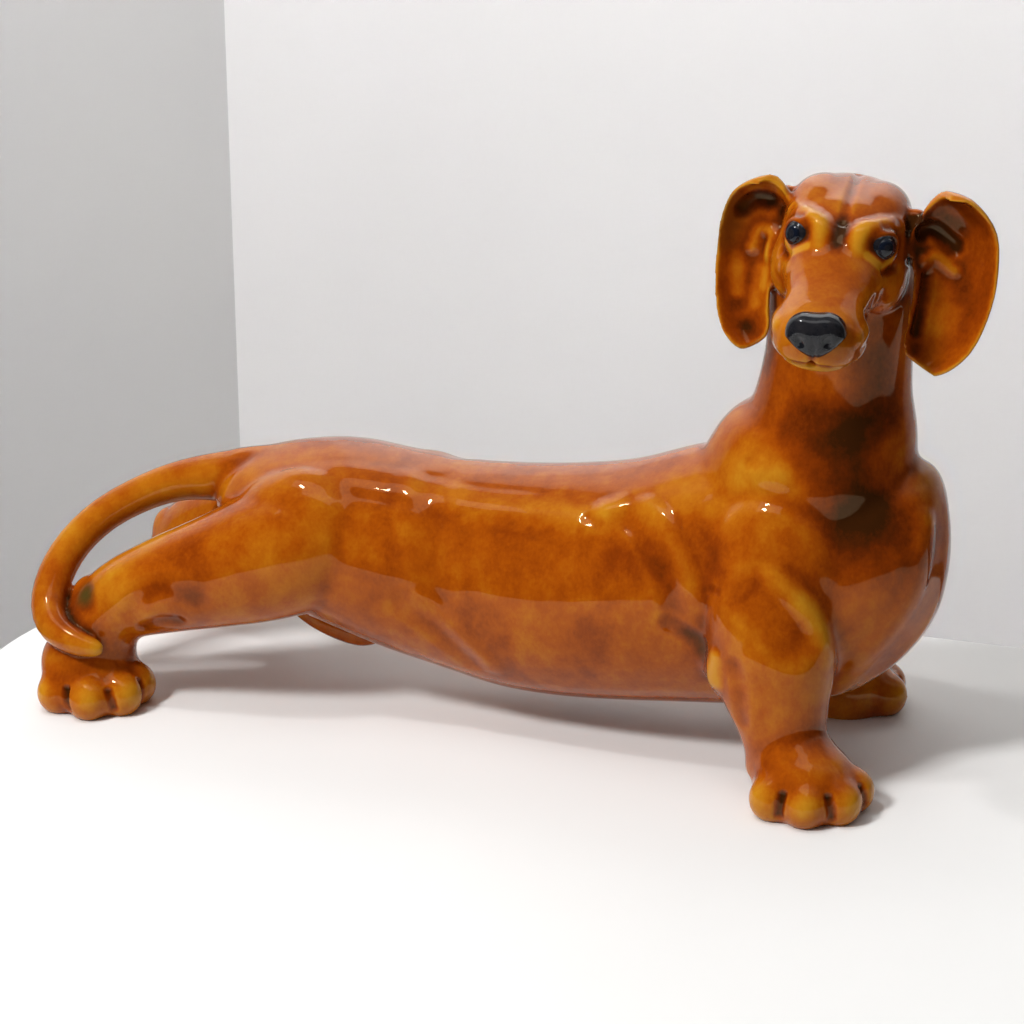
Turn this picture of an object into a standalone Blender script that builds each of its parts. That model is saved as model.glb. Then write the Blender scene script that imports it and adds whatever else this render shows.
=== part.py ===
"""Standing dachshund figurine in honey-brown glazed ceramic.

The dog is modelled once as a soft-skinned master, the way a clay original is,
and the master is then sawn into the castings that a slip-caster would lute together:
a hollow trunk, a hollow head and neck, four legs, a tail and two ears.  The
black-glazed nose and eyes sit in shallow seats in the head.

Frame: +X towards the chest, +Y towards the dog's left side, +Z up, soles at z = 0.
All driving dimensions are in millimetres and are scaled to metres when built.
"""

import math

import bmesh
import bpy
from mathutils import Matrix, Vector

MM = 0.001

# The dog is laid out from a datum below its loin; this moves the origin to the
# middle of the footprint.
ORIGIN_SHIFT = Vector((11.05, 3.65, 0.0))

SEAM = 0.3            # gap at every slip seam
WALL = 5.0            # wall of the hollow castings
VENT_RADIUS = 4.0     # firing vent under the belly
VOXEL = 1.5           # voxel of the master's skin
SKIN_FACES = 6600     # triangles left in the master's skin
RING_POINTS = 32

# Trunk: x, height of the centre, half width, half height.
TRUNK = [
    (-114.0, 66.0, 6.0, 6.0),
    (-111.0, 64.5, 14.0, 12.5),
    (-102.0, 61.0, 24.0, 20.0),
    (-88.0, 57.5, 31.5, 27.5),
    (-70.0, 55.5, 35.0, 31.8),
    (-50.0, 51.5, 35.0, 34.0),
    (-30.0, 48.5, 34.5, 35.6),
    (-10.0, 46.8, 35.5, 38.0),
    (10.0, 47.5, 37.0, 39.3),
    (30.0, 50.0, 38.5, 40.4),
    (50.0, 54.5, 39.0, 43.0),
    (70.0, 58.0, 39.0, 44.5),
    (90.0, 59.5, 37.5, 43.0),
    (106.0, 62.0, 34.0, 40.5),
    (118.0, 66.0, 29.0, 35.5),
    (127.5, 70.5, 21.5, 28.5),
    (132.5, 71.0, 12.5, 18.0),
    (134.5, 71.0, 4.0, 6.0),
]

# Neck: x, y, height, half length fore and aft, half width across.
NECK = [
    (84.0, 0.0, 78.0, 36.0, 30.0),
    (91.0, 0.0, 97.0, 33.5, 30.0),
    (95.0, 0.0, 110.0, 28.0, 26.0),
    (96.0, -1.0, 122.0, 24.5, 22.0),
    (97.0, -2.0, 136.0, 23.0, 20.0),
    (97.5, -3.5, 150.0, 23.2, 18.5),
    (98.0, -5.0, 163.0, 22.6, 17.0),
    (98.5, -6.0, 175.0, 16.0, 13.0),
]

# Head: distance forward of its centre, height, half width, half height.
HEAD = [
    (-24.0, 1.0, 6.0, 5.0),
    (-19.0, 1.0, 14.0, 10.5),
    (-9.0, 1.0, 18.6, 13.6),
    (2.0, 0.8, 19.8, 14.2),
    (12.0, -0.2, 18.8, 14.4),
    (20.0, -3.0, 16.6, 13.8),
    (28.0, -6.0, 14.2, 12.2),
    (38.0, -9.5, 13.2, 10.8),
    (48.0, -11.5, 13.6, 10.2),
    (55.0, -12.2, 12.8, 9.4),
    (60.0, -12.4, 9.5, 7.4),
    (62.5, -12.4, 4.5, 4.0),
]
HEAD_CENTRE = Vector((98.6, -6.0, 174.1))
HEAD_TURN = math.radians(-86.0)
HEAD_NOD = math.radians(8.0)
HEAD_TILT = math.radians(6.0)

EYE_AT = (19.8, 11.8, 5.2)
EYE_RADIUS = 4.9
NOSE_AT = (58.9, 0.0, -8.4)
NOSE_RADII = (5.6, 8.9, 6.8)

# Legs, right side: x, y, height, half width across, half width fore and aft.
FORELEG = [
    (80.0, -23.0, 76.0, 17.0, 17.0),
    (83.0, -28.0, 62.0, 19.5, 21.0),
    (86.0, -33.5, 48.0, 18.0, 20.5),
    (88.4, -37.0, 35.0, 15.6, 18.2),
    (91.0, -39.0, 24.0, 13.4, 14.6),
    (92.6, -40.0, 15.0, 12.8, 12.8),
    (93.6, -41.5, 8.0, 13.0, 13.4),
]
FORE_PAW_AT = (100.5, -46.5)
FORE_PAW_TURN = math.radians(-58.0)
LEFT_FORELEG_BACK = 3.5
LEFT_FORELEG_IN = 12.0
LEFT_HIND_LEG_BACK = 3.0

HIND_LEG = [
    (-66.0, -16.0, 60.0, 20.0),
    (-78.0, -20.0, 56.5, 22.5),
    (-92.0, -25.0, 51.5, 21.5),
    (-107.0, -29.0, 46.5, 19.0),
    (-124.0, -33.0, 41.0, 16.3),
    (-138.0, -35.5, 34.5, 14.0),
    (-145.5, -37.5, 24.0, 13.2),
    (-146.0, -39.0, 12.0, 13.2),
]
HIND_PAW_AT = (-147.0, -40.5)
HIND_PAW_TURN = math.radians(-66.0)
HOCK_AT = (-149.0, 35.5, 34.0)
HAUNCH_HEIGHT = {-1.0: 60.0, 1.0: 56.5}

PAW_RADII = (16.5, 16.5, 15.0)
PAW_HEIGHT = 7.0
TOE_RADII = (8.6, 7.9, 8.2)
TOE_HEIGHT = 6.0
# Toes of a right paw, from its centre: forward is +x, outward is -y.
FORE_TOES = [(-7.4, -10.0), (2.6, -11.8), (11.4, -6.6), (13.4, 2.2)]
HIND_TOES = [(-7.0, -10.8), (4.4, -12.8), (12.6, -6.6), (13.0, 2.4)]

# Sheath under the loin: x, y, height, radius.
SHEATH = [
    (-90.0, 0.0, 27.0, 3.0),
    (-82.0, 0.0, 23.0, 4.6),
    (-72.0, 0.0, 19.8, 5.0),
    (-64.0, 0.0, 18.8, 4.8),
    (-58.0, 0.0, 20.8, 3.8),
    (-53.0, 0.0, 24.0, 2.0),
]

# Tail: x, y, height, radius.
TAIL_ROOT = [
    (-96.0, 0.0, 70.0, 14.0),
    (-106.0, -1.5, 72.0, 10.0),
    (-114.7, -3.0, 71.4, 7.9),
]
TAIL = [
    (-100.0, -1.0, 71.0, 10.4),
    (-106.0, -1.5, 71.4, 9.8),
    (-114.7, -3.0, 71.0, 8.5),
    (-126.6, -5.0, 69.2, 7.1),
    (-138.5, -9.0, 65.3, 6.3),
    (-151.0, -17.0, 58.5, 6.0),
    (-159.0, -26.0, 50.0, 6.0),
    (-162.2, -35.0, 41.0, 6.2),
    (-161.0, -43.5, 33.0, 6.0),
    (-155.0, -50.0, 28.2, 5.4),
    (-146.5, -53.0, 25.6, 4.4),
    (-140.0, -53.0, 24.4, 3.2),
    (-137.0, -52.5, 24.0, 1.6),
]
TAIL_SEAM_AT = (-111.5, -2.5, 71.6)
TAIL_SEAM_FACING = (-0.98, -0.16, 0.0)

# Ears: x, y, height, half width.
RIGHT_EAR = [
    (76.6, -13.0, 189.4, 3.6),
    (75.8, -12.0, 187.6, 7.2),
    (74.0, -10.8, 182.8, 10.2),
    (71.4, -11.0, 174.5, 10.6),
    (69.6, -12.5, 164.0, 9.5),
    (69.2, -14.5, 155.0, 8.6),
    (70.6, -17.0, 147.0, 7.9),
    (73.0, -19.2, 142.4, 6.4),
    (74.4, -20.0, 140.4, 4.2),
]
LEFT_EAR = [
    (126.5, -12.0, 187.0, 5.5),
    (129.0, -10.5, 184.0, 10.2),
    (132.0, -9.5, 176.0, 13.2),
    (133.6, -11.0, 166.0, 12.8),
    (133.2, -13.0, 156.5, 12.0),
    (130.8, -16.0, 147.0, 11.0),
    (127.4, -18.6, 140.8, 8.6),
    (125.4, -20.0, 137.6, 5.6),
]
EAR_THICKNESS = 2.9
EAR_CUP = 8.0
EAR_ROOTS = {"right": (80.0, -7.0, 179.0), "left": (119.5, -7.0, 174.5)}
EAR_ROOT_RADII = (6.5, 4.5, 8.5)

HONEY = (0.33, 0.105, 0.022, 1.0)
BLACK = (0.012, 0.010, 0.010, 1.0)


def clear_scene():
    for obj in list(bpy.data.objects):
        bpy.data.objects.remove(obj, do_unlink=True)


def glaze(name, colour, roughness):
    material = bpy.data.materials.new(name)
    material.use_nodes = True
    shader = material.node_tree.nodes["Principled BSDF"]
    shader.inputs["Base Color"].default_value = colour
    shader.inputs["Roughness"].default_value = roughness
    shader.inputs["Metallic"].default_value = 0.0
    shader.inputs["Coat Weight"].default_value = 1.0
    shader.inputs["Coat Roughness"].default_value = 0.04
    return material


def mirrored(stations, back, inward=0.0):
    """The same stations on the dog's left, set back, and further in towards the sole."""
    rows = []
    for x, y, z, *rest in stations:
        share = min(max((76.0 - z) / 60.0, 0.0), 1.0)
        rows.append((x - back, -y - inward * share, z, *rest))
    return rows


def stance(side):
    """How far a side's fore paw is set back and in, and its hind paw set back."""
    if side < 0.0:
        return 0.0, 0.0, 0.0
    return LEFT_FORELEG_BACK, LEFT_FORELEG_IN, LEFT_HIND_LEG_BACK


def head_point(forward, side, up):
    """A point given in the turned head's own directions, side positive to its left."""
    return HEAD_CENTRE + HEAD_AXES @ Vector((forward, side, up))


def head_axes():
    turn = Matrix.Rotation(HEAD_TURN, 3, "Z")
    nod = Matrix.Rotation(HEAD_NOD, 3, "Y")
    tilt = Matrix.Rotation(-HEAD_TILT, 3, "X")
    return turn @ nod @ tilt


HEAD_AXES = head_axes()


def loft(bm, centres, axes, radii, outline=None):
    """Skin a closed body over loops set along `centres`.

    `axes` gives each loop's two in-plane directions, `radii` its two half sizes and
    `outline` maps an angle to the loop's unit shape (an ellipse if left out).
    """
    loops = []
    for centre, (across, up), (wide, high) in zip(centres, axes, radii):
        loop = []
        for step in range(RING_POINTS):
            angle = 2.0 * math.pi * step / RING_POINTS
            if outline:
                a, b = outline(angle, wide)
            else:
                a, b = wide * math.cos(angle), high * math.sin(angle)
            loop.append(bm.verts.new(centre + across * a + up * b))
        loops.append(loop)
    edges = []
    for loop in loops:
        ring = [bm.edges.new((loop[i], loop[(i + 1) % RING_POINTS])) for i in range(RING_POINTS)]
        edges.append(ring)
    for first, second in zip(edges, edges[1:]):
        bmesh.ops.bridge_loops(bm, edges=first + second)
    for loop in (loops[0], loops[-1]):
        bm.faces.new(loop)


def along(points, index):
    """Direction of a line of points at one of them."""
    before = points[max(index - 1, 0)]
    after = points[min(index + 1, len(points) - 1)]
    return (after - before).normalized()


def tube(bm, stations, side=(0.0, 1.0, 0.0)):
    """A tube through stations of centre and one radius, or two for an oval section."""
    centres = [Vector(s[:3]) for s in stations]
    axes = []
    radii = []
    for index, station in enumerate(stations):
        run = along(centres, index)
        across = Vector(side)
        across = (across - run * across.dot(run)).normalized()
        axes.append((across, run.cross(across)))
        radii.append((station[-1], station[3]))
    loft(bm, centres, axes, radii)


def ellipsoid(bm, centre, radii, turn=0.0, axes=None):
    """A ball stretched to `radii`, turned about the vertical or laid along `axes`."""
    made = bmesh.ops.create_icosphere(bm, subdivisions=3, radius=1.0)
    if axes is None:
        axes = Matrix.Rotation(turn, 3, "Z")
    shape = axes @ Matrix.Diagonal(Vector(radii))
    for vert in made["verts"]:
        vert.co = Vector(centre) + shape @ vert.co


def trunk_rings(bm, inset=0.0, first=0, last=None):
    rings = TRUNK[first:last]
    centres = [Vector((x, 0.0, z)) for x, z, _, _ in rings]
    axes = [(Vector((0.0, 1.0, 0.0)), Vector((0.0, 0.0, 1.0)))] * len(rings)
    loft(bm, centres, axes, [(wide - inset, high - inset) for _, _, wide, high in rings])


def neck_rings(bm, inset=0.0):
    tube(bm, [(x, y, z, fore - inset, wide - inset) for x, y, z, fore, wide in NECK])


def head_rings(bm):
    across = HEAD_AXES @ Vector((0.0, 1.0, 0.0))
    up = HEAD_AXES @ Vector((0.0, 0.0, 1.0))
    centres = [head_point(forward, 0.0, height) for forward, height, _, _ in HEAD]
    radii = [(wide, high) for _, _, wide, high in HEAD]
    loft(bm, centres, [(across, up)] * len(HEAD), radii)


def paw(bm, centre, turn, places, side):
    """A rounded paw turned as it points, with its toes at `places` from its centre."""
    ellipsoid(bm, (*centre, PAW_HEIGHT), PAW_RADII, -turn * side)
    for ahead, out in places:
        toe = (centre[0] + ahead, centre[1] - out * side, TOE_HEIGHT)
        ellipsoid(bm, toe, TOE_RADII, math.atan2(-out * side, ahead))


def limbs(bm, side):
    """Shoulder, haunch, elbow, hock and paws on one side of the dog."""
    back, inward, hind_back = stance(side)
    ellipsoid(bm, (84.0, 25.0 * side, 68.0), (24.0, 16.5, 27.0))
    ellipsoid(bm, (-76.0, 19.0 * side, HAUNCH_HEIGHT[side]), (27.0, 18.5, 23.0))
    ellipsoid(bm, (72.5 - back, (37.0 - 0.5 * inward) * side, 40.0), (8.0, 8.0, 11.0))
    ellipsoid(bm, (97.0 - back, (44.0 - inward) * side, 13.0), (13.8, 13.8, 12.5))
    ellipsoid(bm, (HOCK_AT[0] - hind_back, HOCK_AT[1] * side, HOCK_AT[2]), (7.0, 7.5, 9.0))
    ellipsoid(bm, (-151.0 - hind_back, 42.0 * side, 13.0), (13.5, 13.5, 14.5))
    fore = (FORE_PAW_AT[0] - back, -(FORE_PAW_AT[1] + inward) * side)
    hind = (HIND_PAW_AT[0] - hind_back, -HIND_PAW_AT[1] * side)
    paw(bm, fore, FORE_PAW_TURN, FORE_TOES, side)
    paw(bm, hind, HIND_PAW_TURN, HIND_TOES, side)


def face_details(bm):
    """Brows, cheeks, skull domes and the lips under the nose."""
    for side in (-1.0, 1.0):
        ellipsoid(bm, head_point(19.0, 8.6 * side, 10.0), (5.0, 6.6, 3.8), axes=HEAD_AXES)
        ellipsoid(bm, head_point(10.0, 13.5 * side, -8.0), (13.0, 7.5, 11.5), axes=HEAD_AXES)
        ellipsoid(bm, head_point(-1.0, 8.6 * side, 5.6), (17.0, 10.5, 10.2), axes=HEAD_AXES)
        ellipsoid(bm, head_point(47.0, 6.6 * side, -14.2), (11.5, 7.8, 7.6), axes=HEAD_AXES)


def ear_outline(angle, half_width):
    """A cupped leaf's section: thick in the middle, its rims brought forward."""
    s = -math.cos(angle)
    depth = EAR_CUP * (s * s - 0.5) * half_width / 12.0
    swell = math.copysign(abs(math.sin(angle)) ** 0.55, math.sin(angle))
    return half_width * s, depth + EAR_THICKNESS * swell


def ear(bm, stations, root):
    centres = [Vector(s[:3]) for s in stations]
    axes = []
    for index in range(len(stations)):
        run = along(centres, index)
        across = Vector((1.0, 0.0, 0.0))
        across = (across - run * across.dot(run)).normalized()
        axes.append((across, run.cross(across)))
    loft(bm, centres, axes, [(s[3], EAR_THICKNESS) for s in stations], ear_outline)
    ellipsoid(bm, root, EAR_ROOT_RADII)


def mesh_object(name, build):
    """Run `build` on an empty bmesh and keep the result, moved and scaled to metres."""
    bm = bmesh.new()
    build(bm)
    for vert in bm.verts:
        vert.co = (vert.co + ORIGIN_SHIFT) * MM
    bm.normal_update()
    bmesh.ops.recalc_face_normals(bm, faces=bm.faces)
    if bm.calc_volume(signed=True) < 0.0:
        bmesh.ops.reverse_faces(bm, faces=bm.faces)
    mesh = bpy.data.meshes.new(name)
    bm.to_mesh(mesh)
    bm.free()
    obj = bpy.data.objects.new(name, mesh)
    bpy.context.scene.collection.objects.link(obj)
    return obj


def bake(obj):
    """Replace an object's mesh with what its modifiers give."""
    graph = bpy.context.evaluated_depsgraph_get()
    baked = bpy.data.meshes.new_from_object(obj.evaluated_get(graph))
    obj.modifiers.clear()
    old = obj.data
    obj.data = baked
    bpy.data.meshes.remove(old)
    baked.name = obj.name


def skin(obj, voxel, passes, faces):
    """Melt overlapping bodies into one smooth closed skin of about `faces` triangles."""
    remesh = obj.modifiers.new("melt", "REMESH")
    remesh.mode = "VOXEL"
    remesh.voxel_size = voxel * MM
    smooth = obj.modifiers.new("soften", "SMOOTH")
    smooth.factor = 0.5
    smooth.iterations = passes
    bake(obj)
    triangles = 2 * len(obj.data.polygons)
    thin = obj.modifiers.new("thin", "DECIMATE")
    thin.ratio = min(1.0, faces / triangles)
    thin.use_collapse_triangulate = True
    bake(obj)


def copy_of(obj, name):
    twin = bpy.data.objects.new(name, obj.data.copy())
    bpy.context.scene.collection.objects.link(twin)
    return twin


def combine(obj, other, operation):
    step = obj.modifiers.new(operation.lower(), "BOOLEAN")
    step.operation = operation
    step.solver = "EXACT"
    step.object = other
    bake(obj)


def grown(obj, amount):
    """A copy of a body with its skin pushed out by `amount` millimetres."""
    twin = copy_of(obj, obj.name + "_grown")
    push = twin.modifiers.new("push", "DISPLACE")
    push.mid_level = 0.0
    push.strength = amount * MM
    bake(twin)
    return twin


def half_space(name, point, normal, lift=0.0, wide=(400.0, 400.0), shift=(0.0, 0.0)):
    """A big block whose near face passes through `point`, lying on the `normal` side."""
    depth = 260.0
    normal = Vector(normal).normalized()
    across = normal.orthogonal() if abs(normal.x) > 0.99 else Vector((1.0, 0.0, 0.0))
    across = (across - normal * across.dot(normal)).normalized()
    other = normal.cross(across)

    def build(bm):
        made = bmesh.ops.create_cube(bm, size=1.0)
        for vert in made["verts"]:
            a = vert.co.x * wide[0] + shift[0]
            b = vert.co.y * wide[1] + shift[1]
            c = (vert.co.z + 0.5) * depth + lift
            vert.co = Vector(point) + across * a + other * b + normal * c

    return mesh_object(name, build)


def drop(*objects):
    for obj in objects:
        bpy.data.objects.remove(obj, do_unlink=True)


def finish(obj, material):
    mesh = obj.data
    mesh.materials.clear()
    mesh.materials.append(material)
    for polygon in mesh.polygons:
        polygon.material_index = 0
    mesh.shade_smooth()
    mesh.set_sharp_from_angle(angle=math.radians(50.0))


def saw(master, name, block_args):
    """Cut one casting off the master and leave the seam's gap behind it."""
    piece = copy_of(master, name)
    near = half_space("near_" + name, lift=SEAM, **block_args)
    combine(piece, near, "INTERSECT")
    far = half_space("far_" + name, lift=0.0, **block_args)
    combine(master, far, "DIFFERENCE")
    drop(near, far)
    return piece


def build_master():
    def build(bm):
        trunk_rings(bm)
        neck_rings(bm)
        head_rings(bm)
        face_details(bm)
        tube(bm, SHEATH)
        tube(bm, TAIL_ROOT)
        tube(bm, FORELEG, (1.0, 0.0, 0.0))
        tube(bm, mirrored(FORELEG, LEFT_FORELEG_BACK, LEFT_FORELEG_IN), (1.0, 0.0, 0.0))
        tube(bm, HIND_LEG)
        tube(bm, mirrored(HIND_LEG, LEFT_HIND_LEG_BACK))
        for side in (-1.0, 1.0):
            limbs(bm, side)

    master = mesh_object("master", build)
    skin(master, VOXEL, 9, SKIN_FACES)
    ground = half_space("ground", (0.0, 0.0, 0.0), (0.0, 0.0, -1.0), wide=(900.0, 900.0))
    combine(master, ground, "DIFFERENCE")
    drop(ground)
    return master


def build_cavity():
    """The space the slip is drained from: trunk, neck, thighs and upper forelegs."""
    def build(bm):
        trunk_rings(bm, WALL, 2, -3)
        neck_rings(bm, WALL)
        for stations, back, inward in (
            (FORELEG[1:-2], LEFT_FORELEG_BACK, LEFT_FORELEG_IN),
            (HIND_LEG[1:-2], LEFT_HIND_LEG_BACK, 0.0),
        ):
            hollow = [(x, y, z, *(r - WALL for r in radii)) for x, y, z, *radii in stations]
            tube(bm, hollow)
            tube(bm, mirrored(hollow, back, inward))

    cavity = mesh_object("cavity", build)
    skin(cavity, 2.0, 4, 1500)
    return cavity


def build_vent():
    def build(bm):
        made = bmesh.ops.create_cone(
            bm, cap_ends=True, segments=32, radius1=VENT_RADIUS, radius2=VENT_RADIUS, depth=40.0
        )
        for vert in made["verts"]:
            vert.co = vert.co + Vector((-14.0, 0.0, 12.0))

    return mesh_object("vent", build)


def build_all():
    clear_scene()
    honey = glaze("honey_glaze", HONEY, 0.12)
    black = glaze("black_glaze", BLACK, 0.08)

    master = build_master()
    pieces = {}
    tail_seam = {"point": TAIL_SEAM_AT, "normal": TAIL_SEAM_FACING}
    behind = half_space("behind_tail_seam", wide=(30.0, 30.0), **tail_seam)
    combine(master, behind, "DIFFERENCE")
    drop(behind)
    for side, name in ((-1.0, "right"), (1.0, "left")):
        pieces[name + "_foreleg"] = saw(
            master,
            name + "_foreleg",
            {
                "point": (92.0, (24.5 - 0.65 * stance(side)[1]) * side, 15.0),
                "normal": (0.0, 0.83 * side, -0.55),
                "wide": (80.0, 300.0),
            },
        )
        pieces[name + "_hind_leg"] = saw(
            master,
            name + "_hind_leg",
            {
                "point": (-96.0, 25.0 * side, 45.0),
                "normal": (-0.50, 0.76 * side, -0.40),
                "wide": (150.0, 92.0),
            },
        )
    pieces["head_and_neck"] = saw(
        master,
        "head_and_neck",
        {"point": (97.0, 0.0, 109.0), "normal": (0.16, 0.0, 0.98), "wide": (200.0, 200.0)},
    )

    cavity = build_cavity()
    vent = build_vent()
    combine(master, cavity, "DIFFERENCE")
    combine(master, vent, "DIFFERENCE")
    for name in ("head_and_neck", "right_foreleg", "left_foreleg", "right_hind_leg", "left_hind_leg"):
        combine(pieces[name], cavity, "DIFFERENCE")
    drop(cavity, vent)
    master.name = "trunk_shell"
    pieces["trunk_shell"] = master

    tail = mesh_object("tail", lambda bm: tube(bm, TAIL))
    skin(tail, 0.9, 6, 560)
    behind = half_space("behind_tail_seam", lift=SEAM, **tail_seam)
    combine(tail, behind, "INTERSECT")
    drop(behind)
    paw_grown = grown(pieces["right_hind_leg"], SEAM)
    combine(tail, paw_grown, "DIFFERENCE")
    drop(paw_grown)
    pieces["tail"] = tail

    head = pieces["head_and_neck"]
    for name, side in (("right_eye", -1.0), ("left_eye", 1.0)):
        at = head_point(EYE_AT[0], EYE_AT[1] * side, EYE_AT[2])
        eye = mesh_object(name, lambda bm: ellipsoid(bm, at, (EYE_RADIUS,) * 3))
        seat = mesh_object("seat", lambda bm: ellipsoid(bm, at, (EYE_RADIUS + SEAM,) * 3))
        combine(head, seat, "DIFFERENCE")
        drop(seat)
        pieces[name] = eye
    at = head_point(*NOSE_AT)
    nose = mesh_object("nose", lambda bm: ellipsoid(bm, at, NOSE_RADII, axes=HEAD_AXES))
    seat_radii = tuple(radius + SEAM for radius in NOSE_RADII)
    seat = mesh_object("seat", lambda bm: ellipsoid(bm, at, seat_radii, axes=HEAD_AXES))
    combine(head, seat, "DIFFERENCE")
    drop(seat)
    pieces["nose"] = nose

    head_grown = grown(head, SEAM)
    for name, stations in (("right_ear", RIGHT_EAR), ("left_ear", LEFT_EAR)):
        root = EAR_ROOTS[name.split("_")[0]]
        leaf = mesh_object(name, lambda bm: ear(bm, stations, root))
        skin(leaf, 0.9, 4, 640)
        combine(leaf, head_grown, "DIFFERENCE")
        pieces[name] = leaf
    drop(head_grown)

    for name, piece in pieces.items():
        finish(piece, black if name in ("nose", "right_eye", "left_eye") else honey)


build_all()
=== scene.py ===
"""The look of the honey-glazed dachshund figurine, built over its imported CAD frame.

The dog is modelled in soft clay first (lofted masses melted together), given its finer
forms (lids, ears, tail), tooled with strokes that raise ridges and press creases, then
parted along the CAD's slip seams and covered with a glaze that pools, thins and mottles.
Lengths in the modelling code are millimetres in the dog's own layout; they are moved
and scaled to the frame's metres when a mesh is made.
"""

import math

import bmesh
import bpy
import numpy as np
from mathutils import Matrix, Vector
from mathutils.bvhtree import BVHTree


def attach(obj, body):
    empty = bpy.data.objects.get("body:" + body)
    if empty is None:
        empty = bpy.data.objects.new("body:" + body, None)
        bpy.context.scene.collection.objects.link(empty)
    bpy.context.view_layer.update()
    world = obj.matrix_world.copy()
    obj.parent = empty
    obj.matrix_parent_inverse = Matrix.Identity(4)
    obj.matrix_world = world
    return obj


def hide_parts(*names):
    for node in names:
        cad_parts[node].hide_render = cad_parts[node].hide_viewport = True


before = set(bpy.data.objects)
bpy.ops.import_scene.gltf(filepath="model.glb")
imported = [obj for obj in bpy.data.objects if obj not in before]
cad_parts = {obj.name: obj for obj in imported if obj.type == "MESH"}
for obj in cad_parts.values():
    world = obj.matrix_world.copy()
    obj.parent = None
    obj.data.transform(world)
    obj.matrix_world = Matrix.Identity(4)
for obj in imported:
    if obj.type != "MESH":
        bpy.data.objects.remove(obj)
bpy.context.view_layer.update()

MM = 0.001
LAYOUT_SHIFT = np.array([11.05, 3.65, 0.0])

CLAY_VOXEL = 1.0
CLAY_PASSES = 24
SKIN_VOXEL = 0.75
SKIN_PASSES = 5
RING_POINTS = 40
SQUARE = 0.86

# ---------------------------------------------------------------- the dog's masses

# Trunk: x, height of the centre, half width, half height.
TRUNK = [
    (-114.0, 66.0, 6.0, 6.0),
    (-111.0, 64.5, 14.0, 12.5),
    (-102.0, 61.0, 24.0, 20.0),
    (-88.0, 57.5, 31.5, 27.5),
    (-70.0, 55.5, 35.0, 31.8),
    (-50.0, 51.5, 35.0, 34.0),
    (-30.0, 48.5, 34.5, 35.6),
    (-10.0, 46.8, 35.5, 38.0),
    (10.0, 47.5, 37.0, 39.3),
    (30.0, 50.0, 38.5, 40.4),
    (50.0, 54.5, 39.0, 43.0),
    (70.0, 58.0, 39.0, 44.5),
    (90.0, 59.5, 37.5, 43.0),
    (106.0, 62.0, 34.0, 40.5),
    (118.0, 66.0, 29.0, 35.5),
    (127.5, 70.5, 21.5, 28.5),
    (132.5, 71.0, 12.5, 18.0),
    (134.5, 71.0, 4.0, 6.0),
]

# Neck: x, y, height, half length fore and aft, half width across.
NECK = [
    (84.0, 0.0, 78.0, 36.0, 30.0),
    (91.0, 0.0, 97.0, 33.5, 30.0),
    (95.0, 0.0, 110.0, 28.0, 26.0),
    (96.0, -1.0, 122.0, 24.5, 22.0),
    (97.0, -2.0, 136.0, 23.0, 20.0),
    (97.5, -3.5, 150.0, 23.2, 18.5),
    (98.0, -5.0, 163.0, 22.6, 17.0),
    (98.5, -6.0, 175.0, 16.0, 13.0),
]

# Head: distance forward of its centre, height, half width, half height.
HEAD = [
    (-24.0, 1.0, 6.0, 5.0),
    (-19.0, 1.0, 14.0, 10.5),
    (-9.0, 1.0, 18.6, 13.6),
    (2.0, 0.8, 19.8, 14.2),
    (12.0, -0.2, 18.8, 14.4),
    (20.0, -3.0, 16.6, 13.8),
    (28.0, -6.0, 14.2, 12.2),
    (38.0, -9.5, 13.2, 10.8),
    (48.0, -11.5, 13.6, 10.2),
    (55.0, -12.2, 12.8, 9.4),
    (60.0, -12.4, 9.5, 7.4),
    (62.5, -12.4, 4.5, 4.0),
]
HEAD_CENTRE = Vector((98.6, -6.0, 174.1))
HEAD_TURN = math.radians(-86.0)
HEAD_NOD = math.radians(8.0)
HEAD_TILT = math.radians(6.0)

# Brow: forward, side, height and thickness in the head's directions.
BROW = [
    (8.0, 16.4, 7.6, 2.2),
    (14.0, 14.2, 9.6, 2.7),
    (18.6, 10.2, 10.0, 3.2),
    (21.6, 6.4, 9.2, 3.8),
    (24.4, 5.4, 6.6, 3.5),
    (27.5, 5.6, 3.6, 2.2),
]
EYE_AT = (19.8, 11.8, 5.2)
EYE_RADIUS = 4.9
NOSE_AT = (58.9, 0.0, -8.4)
NOSE_RADII = (5.6, 8.9, 6.8)
NOSE_ROLL = math.radians(8.0)
NOSE_SQUARENESS = (0.80, 0.84, 0.80)

# Legs, right side: x, y, height, half width across, half width fore and aft.
FORELEG = [
    (80.0, -23.0, 76.0, 17.0, 17.0),
    (83.0, -28.0, 62.0, 19.5, 21.0),
    (86.0, -33.5, 48.0, 18.0, 20.5),
    (88.4, -37.0, 35.0, 15.6, 18.2),
    (91.0, -39.0, 24.0, 13.4, 14.6),
    (92.6, -40.0, 15.0, 12.8, 12.8),
    (93.6, -41.5, 8.0, 13.0, 13.4),
]
FORE_PAW_AT = (100.5, -46.5)
FORE_PAW_TURN = math.radians(-58.0)
LEFT_FORELEG_BACK = 3.5
LEFT_FORELEG_IN = 12.0
LEFT_HIND_LEG_BACK = 3.0

HIND_LEG = [
    (-66.0, -16.0, 60.0, 20.0),
    (-78.0, -20.0, 56.5, 22.5),
    (-92.0, -25.0, 51.5, 21.5),
    (-107.0, -29.0, 46.5, 19.0),
    (-124.0, -33.0, 41.0, 16.3),
    (-138.0, -35.5, 34.5, 14.0),
    (-145.5, -37.5, 24.0, 13.2),
    (-146.0, -39.0, 12.0, 13.2),
]
HIND_PAW_AT = (-147.0, -40.5)
HIND_PAW_TURN = math.radians(-66.0)
HOCK_AT = (-149.0, 35.5, 34.0)
HAUNCH_HEIGHT = {-1.0: 60.0, 1.0: 56.5}

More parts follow.
